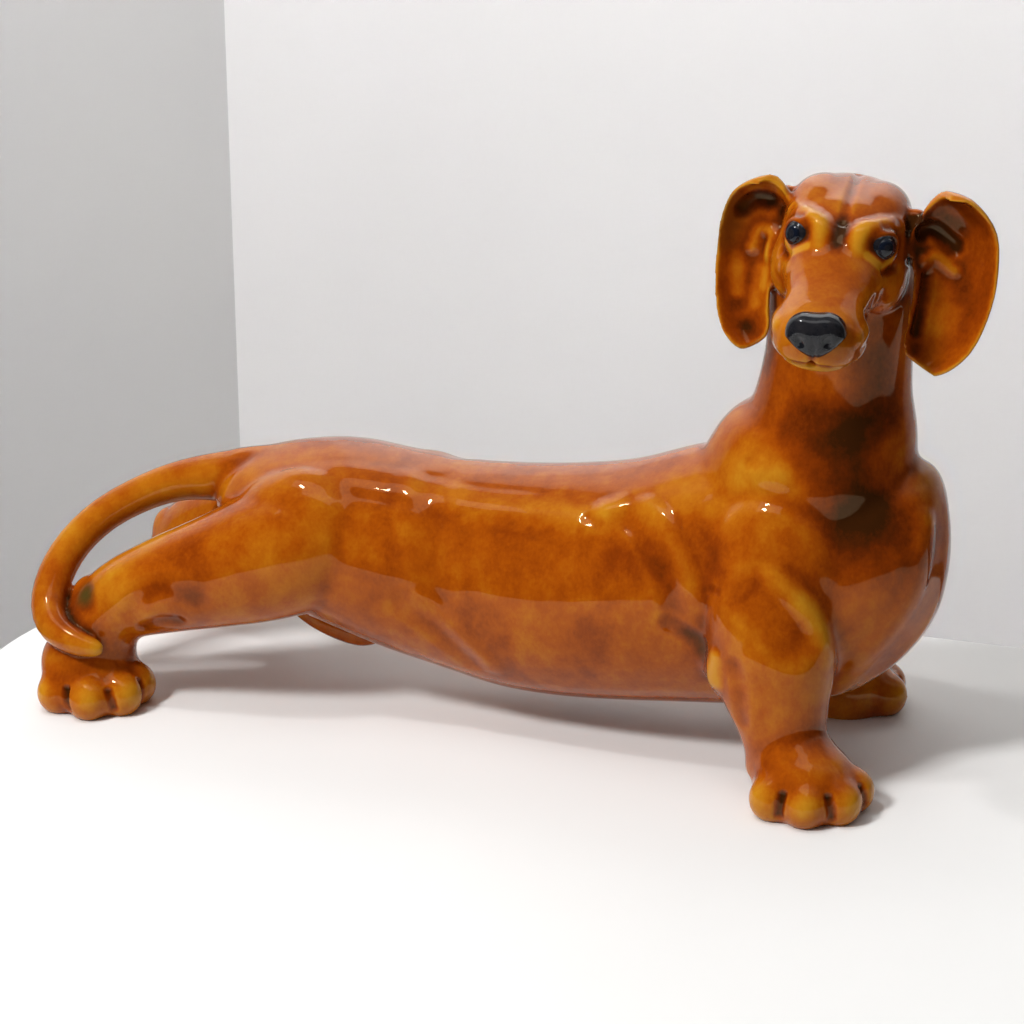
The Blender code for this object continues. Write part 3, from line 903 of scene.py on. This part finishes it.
# Where the glazer's spray and the pull of the glaze left it deep, thin or olive, and where painted
# shade darkens it:
# path on the right side or in the middle, reach, strength.
POOLED_AND_SHADED = [
    # painted shade: the first three darken the neck under the head and the right side of the chest,
    # over some pooled glaze
    ([(99, -22, 112), (106, -25, 101), (112, -24, 92)], 19.0, 0.42),
    ([(108, -14, 140), (112, -18, 120)], 13.0, 0.30),
    ([(112, -27, 84), (122, -22, 78)], 18.0, 0.24),
    ([(36, -33, 73), (45, -35, 70), (52, -37, 66)], 10.0, 0.07),
    # pooled glaze in the leaf-shaped hollow, darkened further as a painted dark reflection
    ([(84, -46, 66), (92, -47, 58)], 10.0, 0.12),
    ([(-104, -8, 80), (-110, -13, 70)], 6.0, 0.06),
    ([(-120, -48, 45), (-106, -47, 45)], 5.0, 0.14),
    ([(-124, -44, 32), (-114, -44, 35)], 5.0, 0.16),
    ([(-146, -46, 41)], 7.0, 0.20),
    ([(60, -38, 49), (67, -39, 40)], 5.0, 0.16),
]
THIN = [
    ([(70, -46, 44), (70, -46, 38)], 5.0, 0.45),
    ([(-36, -16, 82), (-5, -21, 78), (27, -25, 80)], 9.0, 0.16),
    ([(40, -24, 87), (60, -27, 92), (78, -27, 100)], 15.0, 0.18),
    ([(97, -43, 66), (104, -41, 56)], 6.0, 0.22),
    ([(-100, -16, 74), (-140, -42, 48)], 14.0, 0.20),
]
EAR_POOLED_AND_SHADED = [
    ([(69, -12, 182), (76, -12, 181), (78, -12, 176)], 6.0, 0.10),
    ([(124, -12, 177), (131, -12, 176)], 6.0, 0.35),
    # painted shadow in the gap between this ear and the head
    ([(121, -12, 180), (120.5, -15, 160), (120.5, -18, 142)], 5.5, 0.45),
    ([(67, -16, 151)], 4.0, 0.22),
    ([(71, -18, 145)], 3.5, 0.22),
    ([(135, -14, 160)], 5.0, 0.12),
]
EAR_THIN = [
    ([(66.5, -13, 165), (67, -14, 155)], 3.4, 0.30),
    ([(72, -14, 162), (72.5, -16, 152)], 3.0, 0.28),
    ([(77.5, -12, 168), (77.0, -15, 152)], 2.6, 0.35),
    ([(132, -13, 152), (128, -17, 143)], 6.0, 0.14),
    ([(70, -12, 187), (78, -12, 187)], 3.5, 0.25),
]
# Thin glaze on the head, in its own directions on the left side.
BROW_PAD = [(17, 12, 12.5), (21, 8, 12), (24.5, 6, 9.5), (27, 6, 6.5)]
LOWER_LID = [(26, 8, 3.0), (24.6, 12, 0.6), (20.5, 15.5, 1.4)]
TAIL_THIN = ([(-112, -3, 71), (-138, -9, 65), (-159, -26, 50), (-161, -43, 33)], 11.0, 0.16)


def glaze_masks(mesh):
    """How deep, how thin and how olive the glaze lies at each point, the depth with painted shade
    added.
    """
    skin = Skin(mesh)
    pooled_and_shade = np.zeros(len(skin.points))
    thin = np.zeros(len(skin.points))
    olive = np.zeros(len(skin.points))
    for side in (-1.0, 1.0):
        for path, reach, strength in POOLED_AND_SHADED:
            pooled_and_shade += strength * skin.mask(turned(path, side), reach)
        for path, reach, strength in THIN:
            thin += strength * skin.mask(turned(path, side), reach)
        eye = [tuple(eye_place(side))]
        pooled_and_shade += 0.55 * skin.mask(eye, 10.0)
        thin += 0.30 * skin.mask(in_head(BROW_PAD, side), 4.2)
        thin += 0.85 * skin.mask(in_head(LOWER_LID, side), 2.2)
        olive += 0.8 * skin.mask(turned([(-146, -45, 40)], side), 6.0)
        fore, hind = paw_centres(side)
        for centre, places in ((fore, FORE_TOES), (hind, HIND_TOES)):
            for ahead, out in places:
                toe = (centre[0] + 1.5 * ahead, centre[1] - 1.5 * out * side, 8.0)
                thin += 0.24 * skin.mask([toe], 5.5)
            pooled_and_shade += 0.14 * skin.mask([(*centre, 24.0)], 13.0)
    for path, reach, strength in EAR_POOLED_AND_SHADED:
        pooled_and_shade += strength * skin.mask(path, reach)
    for path, reach, strength in EAR_THIN:
        thin += strength * skin.mask(path, reach)
    olive += 0.45 * skin.mask([(65, -13, 180), (62, -13, 172)], 8.0)
    pooled_and_shade += 0.25 * skin.mask([(-80, 0, 18), (-62, 0, 14)], 12.0)
    pooled_and_shade += 0.34 * skin.mask(in_head([(20, 0, 11), (27, 0, 7)]), 5.0)
    thin += 0.7 * skin.mask(in_head([(57, -7, -20.5), (60, 0, -19.5), (57, 7, -20.5)]), 2.4)
    path, reach, strength = TAIL_THIN
    thin += strength * skin.mask(path, reach)
    return pooled_and_shade, thin, olive


def neighbour_mean(points, edges, count):
    total = np.zeros_like(points)
    for k in range(points.shape[1]):
        total[:, k] += np.bincount(edges[:, 0], points[edges[:, 1], k], len(points))
        total[:, k] += np.bincount(edges[:, 1], points[edges[:, 0], k], len(points))
    return total / count[:, None]


def relief_of(mesh, points, normals, scale):
    """How far each point stands proud of its surroundings within about `scale` mm."""
    flat = np.empty(len(mesh.edges) * 2, np.int32)
    mesh.edges.foreach_get("vertices", flat)
    edges = flat.reshape(-1, 2)
    count = np.maximum(np.bincount(edges.ravel(), minlength=len(points)), 1)
    passes = max(2, int((scale / SKIN_VOXEL) ** 2))
    soft = points
    for _ in range(passes):
        soft = neighbour_mean(soft, edges, count)
    return ((points - soft) * normals).sum(1)


CARRIED = ("relief_fine", "relief_broad", "pooled_and_shade", "thin", "olive")


def sculpt():
    body = mesh_object("clay", clay)
    melt(body, CLAY_VOXEL, CLAY_PASSES)
    base_tree = tree_of(body)
    ears = {
        name: mesh_object(name, lambda bm: ear(bm, stations, EAR_ROOTS[name]))
        for name, stations in (("right_ear", RIGHT_EAR), ("left_ear", LEFT_EAR))
    }
    tail = mesh_object("tail", lambda bm: tube(bm, TAIL))
    trees = {name: tree_of(obj) for name, obj in ears.items()}
    trees["tail"] = tree_of(tail)
    forms = mesh_object("forms", fine_forms)
    skin = join(body, forms, tail, *ears.values())
    melt(skin, SKIN_VOXEL, SKIN_PASSES)
    return skin, base_tree, trees


def field_near(points, box_low, box_high, own_tree, base_tree, reach=12.0):
    """Negative where a point belongs to the added form rather than to the clay."""
    field = np.full(len(points), reach)
    inside = ((points > box_low) & (points < box_high)).all(1)
    near = np.nonzero(inside)[0]
    here = points[near]
    own = distance_to(here, own_tree, reach)
    base = distance_to(here, base_tree, reach)
    field[near] = own - base
    return field


def seam_fields(points, base_tree, trees):
    """For each casting in turn, a field that is negative on its own side of its seam."""
    fields = []
    for name, low, high in (
        ("right_ear", (50, -40, 130), (90, 10, 200)),
        ("left_ear", (112, -40, 125), (155, 10, 200)),
    ):
        fields.append((name, field_near(points, low, high, trees[name], base_tree)))
    tail_own = field_near(points, (-175, -70, 12), (-104, 12, 90), trees["tail"], base_tree)
    tail_own = np.maximum(tail_own, -signed_plane(points, TAIL_SEAM_AT, TAIL_SEAM_FACING))
    root = signed_plane(points, TAIL_SEAM_AT, TAIL_SEAM_FACING)
    x, y, z = points.T
    near_root = (np.abs(y + 2.5) < 14) & (np.abs(z - 71.6) < 14) & (x > -122)
    tail_own[near_root] = -root[near_root]
    fields.append(("tail", tail_own))
    fields.append(("head_and_neck", -signed_plane(points, NECK_SEAM_AT, NECK_SEAM_FACING)))
    for side, name in ((-1.0, "right"), (1.0, "left")):
        x, y, z = FORELEG_SEAM_AT
        y -= FORELEG_SEAM_SHARE * stance(side)[1]
        ahead, out, up = FORELEG_SEAM_FACING
        plane = signed_plane(points, (x, y * side, z), (ahead, out * side, up))
        reach = np.abs(points[:, 0] - x) - FORELEG_SEAM_REACH
        fields.append((name + "_foreleg", np.maximum(-plane, reach)))
    for side, name in ((-1.0, "right"), (1.0, "left")):
        x, y, z = HIND_LEG_SEAM_AT
        ahead, out, up = HIND_LEG_SEAM_FACING
        plane = signed_plane(points, (x, y * side, z), (ahead, out * side, up))
        reach = -points[:, 1] * side + 2.0
        fields.append((name + "_hind_leg", np.maximum(-plane, reach)))
    return fields


def part_skin(skin, base_tree, trees):
    mesh = skin.data
    points = points_of(mesh)
    normals = normals_of(mesh)
    relief_fine = relief_of(mesh, points, normals, 1.6)
    relief_broad = relief_of(mesh, points, normals, 4.5)
    values = np.column_stack([normals, relief_fine, relief_broad, *glaze_masks(mesh)])
    mesh.calc_loop_triangles()
    flat = np.empty(len(mesh.loop_triangles) * 3, np.int32)
    mesh.loop_triangles.foreach_get("vertices", flat)
    rest = flat.reshape(-1, 3).astype(int)
    pieces = {}
    fields = seam_fields(points, base_tree, trees)
    carried = np.column_stack([values] + [f for _, f in fields])
    width = values.shape[1]
    for k, (name, _) in enumerate(fields):
        points, carried, own, rest = part(points, carried, rest, carried[:, width + k])
        pieces[name] = own
    pieces["trunk_shell"] = rest
    drop(skin)
    return {
        name: piece_object(name + "_glazed", points, carried[:, :width], triangles)
        for name, triangles in pieces.items()
    }


# ---------------------------------------------------------------- nose and eyes

def soft_spot(across, up, wide, high):
    """A round dent or bump that fades out over `wide` and `high`."""
    return math.exp(-(across / wide) ** 2 - (up / high) ** 2)


def nose_surface(forward, side, up):
    """A unit sphere's point moved to the leather's own form, in mm from its centre."""
    unit = (forward, side, up)
    full = [math.copysign(abs(v) ** power, v) for v, power in zip(unit, NOSE_SQUARENESS)]
    narrow = 1.0 - 0.58 * max(-full[2], 0.0) ** 1.1
    out = [r * v for r, v in zip(NOSE_RADII, full)]
    out[1] *= narrow
    front = max(forward, 0.0)
    reach = abs(side)
    dent = 1.2 * soft_spot(reach - 0.42, up + 0.05, 0.15, 0.16)
    dent += 0.7 * soft_spot(reach - 0.58, up + 0.22, 0.13, 0.12)
    dent += 0.45 * soft_spot(side, 0.0, 0.07, 1.0) * min(max(0.35 - 2.0 * up, 0.0), 1.0)
    out[0] -= dent * front ** 0.5
    out[2] -= 0.7 * soft_spot(side, 0.0, 0.30, 1.0) * max(up, 0.0)
    return out


def build_nose():
    def build(bm):
        made = bmesh.ops.create_icosphere(bm, subdivisions=6, radius=1.0)
        centre = head_point(*NOSE_AT)
        axes = HEAD_AXES @ Matrix.Rotation(NOSE_ROLL, 3, "X")
        for vert in made["verts"]:
            vert.co = centre + axes @ Vector(nose_surface(*vert.co))
    return mesh_object("nose_glazed", build)


def build_eye(name, side):
    """A glazed ball with a raised cornea and a shallow ring round it."""
    outward = HEAD_AXES @ Vector((EYE_OUTWARD.x, EYE_OUTWARD.y * side, EYE_OUTWARD.z))
    centre = eye_place(side)

    def build(bm):
        made = bmesh.ops.create_icosphere(bm, subdivisions=5, radius=1.0)
        for vert in made["verts"]:
            facing = vert.co.dot(outward)
            raised = 0.06 * min(max((facing - 0.78) / 0.14, 0.0), 1.0)
            ring = 0.03 * math.exp(-((facing - 0.77) / 0.03) ** 2)
            vert.co = centre + vert.co * (EYE_RADIUS * (0.97 + raised - ring))

    obj = mesh_object(name, build)
    facing = (points_of(obj.data) - np.array(centre)) @ np.array(outward) / EYE_RADIUS
    iris = np.clip((facing - 0.76) / 0.05, 0.0, 1.0) * np.clip((1.0 - facing) / 0.03, 0.25, 1.0)
    layer = obj.data.attributes.new("iris", "FLOAT", "POINT")
    layer.data.foreach_set("value", iris.astype(np.float32))
    return obj


# ---------------------------------------------------------------- glaze

# Honey glaze over white clay, from thin and ochre to deep and almost black.
HONEY_RAMP = [
    (0.00, (0.47, 0.195, 0.010)),
    (0.22, (0.41, 0.122, 0.0045)),
    (0.42, (0.32, 0.063, 0.0020)),
    (0.60, (0.215, 0.034, 0.0016)),
    (0.80, (0.105, 0.0165, 0.0014)),
    (1.00, (0.036, 0.0100, 0.0018)),
]
OLIVE = (0.050, 0.048, 0.010)

# Depth of the glaze, 0 thin to 1 deep: its usual value, how far proud relief thins it,
# and how much each unevenness shifts it.
USUAL_DEPTH = 0.47
FINE_THINNING = 0.65
BROAD_THINNING = 0.20
GRAIN_SHARE = 0.20
MOTTLE_SHARE = 0.40
CLOUD_SHARE = 0.66


class Nodes:
    """Short ways to lay and join shader nodes."""

    def __init__(self, tree):
        self.tree = tree

    def add(self, kind, **values):
        node = self.tree.nodes.new("ShaderNode" + kind)
        for key, value in values.items():
            setattr(node, key, value)
        return node

    def put(self, socket, value):
        if isinstance(value, bpy.types.NodeSocket):
            self.tree.links.new(value, socket)
        else:
            socket.default_value = value

    def math(self, operation, a, b=0.0, c=0.0, clamp=False):
        node = self.add("Math", operation=operation, use_clamp=clamp)
        for socket, value in zip(node.inputs, (a, b, c)):
            self.put(socket, value)
        return node.outputs[0]

    def noise(self, where, scale, detail=3.0, roughness=0.55, distortion=0.0):
        node = self.add("TexNoise")
        self.put(node.inputs["Vector"], where)
        node.inputs["Scale"].default_value = scale
        node.inputs["Detail"].default_value = detail
        node.inputs["Roughness"].default_value = roughness
        node.inputs["Distortion"].default_value = distortion
        return node.outputs["Fac"]

    def stretched(self, where, scale):
        node = self.add("Mapping")
        self.put(node.inputs["Vector"], where)
        node.inputs["Scale"].default_value = scale
        return node.outputs["Vector"]

    def attribute(self, name):
        return self.add("Attribute", attribute_name=name).outputs["Fac"]

    def ramp(self, value, stops):
        node = self.add("ValToRGB")
        self.put(node.inputs["Fac"], value)
        elements = node.color_ramp.elements
        while len(elements) < len(stops):
            elements.new(0.5)
        for element, (at, colour) in zip(elements, stops):
            element.position = at
            element.color = (*colour, 1.0)
        return node.outputs["Color"]

    def blend(self, share, first, second):
        node = self.add("Mix", data_type="RGBA")
        self.put(node.inputs["Factor"], share)
        self.put(node.inputs["A"], first)
        self.put(node.inputs["B"], second)
        return next(output for output in node.outputs if output.type == "RGBA")

    def bump(self, height, strength, distance, under=None):
        node = self.add("Bump")
        self.put(node.inputs["Height"], height)
        node.inputs["Strength"].default_value = strength
        node.inputs["Distance"].default_value = distance
        if under is not None:
            self.put(node.inputs["Normal"], under)
        return node.outputs["Normal"]


def new_material(name):
    material = bpy.data.materials.new(name)
    material.use_nodes = True
    return material, Nodes(material.node_tree), material.node_tree.nodes["Principled BSDF"]


def honey_glaze():
    material, n, shader = new_material("honey_glaze")
    where = n.add("TexCoord").outputs["Object"]
    grain = n.noise(n.stretched(where, (1.0, 1.0, 0.72)), 900.0, 2.0, 0.6)
    mottle = n.noise(n.stretched(where, (1.0, 1.0, 0.85)), 170.0, 4.0, 0.58)
    clouds = n.noise(where, 46.0, 3.0, 0.5, 0.4)
    fine = n.attribute("relief_fine")
    broad = n.attribute("relief_broad")
    depth = n.math("MULTIPLY_ADD", fine, -FINE_THINNING, USUAL_DEPTH)
    depth = n.math("ADD", depth, n.math("MULTIPLY", broad, -BROAD_THINNING))
    for noise, share in ((grain, GRAIN_SHARE), (mottle, MOTTLE_SHARE), (clouds, CLOUD_SHARE)):
        depth = n.math("ADD", depth, n.math("MULTIPLY", n.math("SUBTRACT", noise, 0.5), share))
    # the pooled depth also holds painted shade and a painted dark reflection
    depth = n.math("ADD", depth, n.attribute("pooled_and_shade"))
    depth = n.math("SUBTRACT", depth, n.attribute("thin"), clamp=True)
    colour = n.ramp(depth, HONEY_RAMP)
    colour = n.blend(n.attribute("olive"), colour, (*OLIVE, 1.0))
    n.put(shader.inputs["Base Color"], colour)
    n.put(shader.inputs["Roughness"], n.math("MULTIPLY_ADD", mottle, 0.045, 0.020))
    shader.inputs["IOR"].default_value = 1.46
    shader.inputs["Specular Tint"].default_value = (1.0, 0.72, 0.42, 1.0)
    waves = n.noise(where, 110.0, 1.0, 0.4)
    normal = n.bump(waves, 0.06, 0.0010)
    n.put(shader.inputs["Normal"], n.bump(mottle, 0.03, 0.0003, normal))
    return material


def black_glaze():
    material, n, shader = new_material("black_glaze")
    where = n.add("TexCoord").outputs["Object"]
    clouds = n.noise(where, 320.0, 3.0)
    colour = n.ramp(clouds, [(0.3, (0.006, 0.007, 0.010)), (0.8, (0.020, 0.018, 0.020))])
    colour = n.blend(n.attribute("iris"), colour, (0.004, 0.0065, 0.014, 1.0))
    n.put(shader.inputs["Base Color"], colour)
    n.put(shader.inputs["Roughness"], n.math("MULTIPLY_ADD", clouds, 0.10, 0.06))
    shader.inputs["IOR"].default_value = 1.42
    n.put(shader.inputs["Normal"], n.bump(clouds, 0.08, 0.0004))
    return material


# ---------------------------------------------------------------- stage, light, camera

CAMERA_AT = (249.223, -799.592, 374.796)
CAMERA_LOOK = (-0.290381, 0.893701, -0.342020)
CAMERA_RIGHT = (0.951057, 0.309017, 0.0)
LENS_MM = 94.922

TABLE_LEFT = -198.0
TABLE_FAR = 101.0
TABLE_RIGHT = 560.0
TABLE_NEAR = -620.0
TABLE_CORNER = 115.0
TABLE_THICKNESS = 18.0
ROOM_CORNER = (-733.0, 1400.0)
WALL_RIGHT_END = (2600.0, 1600.0)
WALL_LEFT_END = (-2300.0, 100.0)
WALL_FOOT = -700.0
WALL_HEAD = 2200.0


def staged(name, points, faces, material):
    mesh = bpy.data.meshes.new(name)
    mesh.from_pydata([(Vector(p) + Vector(LAYOUT_SHIFT)) * MM for p in points], [], faces)
    mesh.materials.append(material)
    obj = bpy.data.objects.new(name, mesh)
    bpy.context.scene.collection.objects.link(obj)
    return obj


def rounded_table():
    """The table top's outline, its far left corner rounded like the others."""
    rows = []
    corners = (
        (TABLE_LEFT, TABLE_FAR, 1.0, -1.0, 180.0, 90.0),
        (TABLE_RIGHT, TABLE_FAR, -1.0, -1.0, 90.0, 0.0),
        (TABLE_RIGHT, TABLE_NEAR, -1.0, 1.0, 0.0, -90.0),
        (TABLE_LEFT, TABLE_NEAR, 1.0, 1.0, -90.0, -180.0),
    )
    for x, y, inward_x, inward_y, start, end in corners:
        cx, cy = x + inward_x * TABLE_CORNER, y + inward_y * TABLE_CORNER
        for step in range(25):
            angle = math.radians(start + (end - start) * step / 24.0)
            out_x, out_y = TABLE_CORNER * math.cos(angle), TABLE_CORNER * math.sin(angle)
            rows.append((cx + out_x, cy + out_y, 0.0))
    return rows


def plain(name, low, high, scale):
    """Matt paint with a faint unevenness."""
    material, n, shader = new_material(name)
    where = n.add("TexCoord").outputs["Object"]
    n.put(shader.inputs["Base Color"], n.ramp(n.noise(where, scale), [(0.3, low), (0.7, high)]))
    shader.inputs["Roughness"].default_value = 0.85
    shader.inputs["Specular IOR Level"].default_value = 0.15
    return material


def wall(name, end, material):
    """An upright wall from the room's corner to its far end."""
    low, high = WALL_FOOT, WALL_HEAD
    near = ROOM_CORNER
    points = [(*near, low), (*end, low), (*end, high), (*near, high)]
    return staged(name, points, [(0, 1, 2, 3)], material)


def build_stage():
    white = plain("table_white", (0.80, 0.80, 0.79), (0.82, 0.82, 0.81), 9.0)
    grey = plain("wall_pale", (0.76, 0.755, 0.75), (0.78, 0.775, 0.77), 4.0)
    # the left wall is the same pale paint set darker, as painted shade
    shaded_wall = plain("wall_painted_shade", (0.56, 0.56, 0.555), (0.58, 0.58, 0.57), 4.0)
    top = rounded_table()
    count = len(top)
    points = top + [(x, y, -TABLE_THICKNESS) for x, y, _ in top]
    faces = [tuple(range(count))[::-1]]
    faces += [(i, (i + 1) % count, count + (i + 1) % count, count + i) for i in range(count)]
    staged("table", points, faces, white)
    right = wall("wall_right", WALL_RIGHT_END, grey)
    left = wall("wall_left", WALL_LEFT_END, shaded_wall)
    return right, left


def lamp(name, at, aim, size, power, shows=True):
    light = bpy.data.lights.new(name, "AREA")
    light.shape = "RECTANGLE"
    light.size, light.size_y = size
    light.energy = power
    obj = bpy.data.objects.new(name, light)
    obj.location = at
    obj.rotation_euler = (Vector(aim) - Vector(at)).to_track_quat("-Z", "Y").to_euler()
    obj.visible_glossy = shows
    bpy.context.scene.collection.objects.link(obj)
    return obj


def build_room_light():
    """A room bright above and behind, dark on the camera's side."""
    world = bpy.data.worlds.new("room")
    bpy.context.scene.world = world
    world.use_nodes = True
    n = Nodes(world.node_tree)
    direction = n.add("TexCoord").outputs["Generated"]
    split = n.add("SeparateXYZ")
    n.put(split.inputs[0], direction)
    # rises from 0 in front and low to 1 overhead and behind
    lift = n.math("ADD", split.outputs["Z"], n.math("MULTIPLY", split.outputs["Y"], 0.75))
    shade = n.ramp(n.math("MULTIPLY_ADD", lift, 0.5, 0.5), [
        (0.00, (0.045, 0.036, 0.030)),
        (0.74, (0.050, 0.040, 0.033)),
        (0.84, (0.15, 0.145, 0.14)),
        (0.93, (0.52, 0.51, 0.50)),
        (1.00, (0.26, 0.26, 0.26)),
    ])
    background = world.node_tree.nodes["Background"]
    n.put(background.inputs["Color"], shade)
    background.inputs["Strength"].default_value = 1.0


def build_lights(walls):
    lamp("lamp_soft", (-0.12, 0.04, 1.05), (0.0, 0.0, 0.05), (0.40, 0.30), 0.8, shows=False)
    lamp("lamp_bulb", (-0.26, -0.24, 1.0), (0.0, 0.0, 0.05), (0.10, 0.055), 2.0)
    lamp("ceiling_glow", (-0.05, -0.22, 1.1), (0.0, 0.0, 0.05), (0.9, 0.36), 1.3)
    lamp("key_left", (-0.66, -0.98, 1.30), (0.0, 0.0, 0.05), (0.30, 0.28), 22.0, shows=False)
    lamp("fill_front", (-0.75, -1.15, 0.42), (0.0, 0.0, 0.08), (0.8, 0.5), 3.6, shows=False)
    wash = lamp("wall_wash", (-0.1, 0.3, 1.9), (-0.35, 1.4, 1.0), (1.6, 0.5), 52.0, shows=False)
    only_walls = bpy.data.collections.new("washed_walls")
    for wall in walls:
        only_walls.objects.link(wall)
    wash.light_linking.receiver_collection = only_walls


def build_camera():
    data = bpy.data.cameras.new("camera")
    data.sensor_width = 36.0
    data.lens = LENS_MM
    data.clip_start = 0.01
    obj = bpy.data.objects.new("camera", data)
    look = Vector(CAMERA_LOOK)
    right = Vector(CAMERA_RIGHT)
    up = right.cross(look)
    axes = Matrix((right, up, -look)).transposed()
    at = (Vector(CAMERA_AT) + Vector(LAYOUT_SHIFT)) * MM
    obj.matrix_world = Matrix.Translation(at) @ axes.to_4x4()
    bpy.context.scene.collection.objects.link(obj)
    bpy.context.scene.camera = obj


# ---------------------------------------------------------------- put it together

def main():
    skin, base_tree, trees = sculpt()
    tool_marks(skin.data)
    pieces = part_skin(skin, base_tree, trees)
    pieces["nose"] = build_nose()
    pieces["right_eye"] = build_eye("right_eye_glazed", -1.0)
    pieces["left_eye"] = build_eye("left_eye_glazed", 1.0)
    honey = honey_glaze()
    black = black_glaze()
    for name, obj in pieces.items():
        dark = name in ("nose", "right_eye", "left_eye")
        obj.data.materials.append(black if dark else honey)
        for polygon in obj.data.polygons:
            polygon.use_smooth = True
        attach(obj, "root")
        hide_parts(name)
    walls = build_stage()
    build_room_light()
    build_lights(walls)
    build_camera()
    bpy.context.scene.view_settings.view_transform = "Standard"


main()
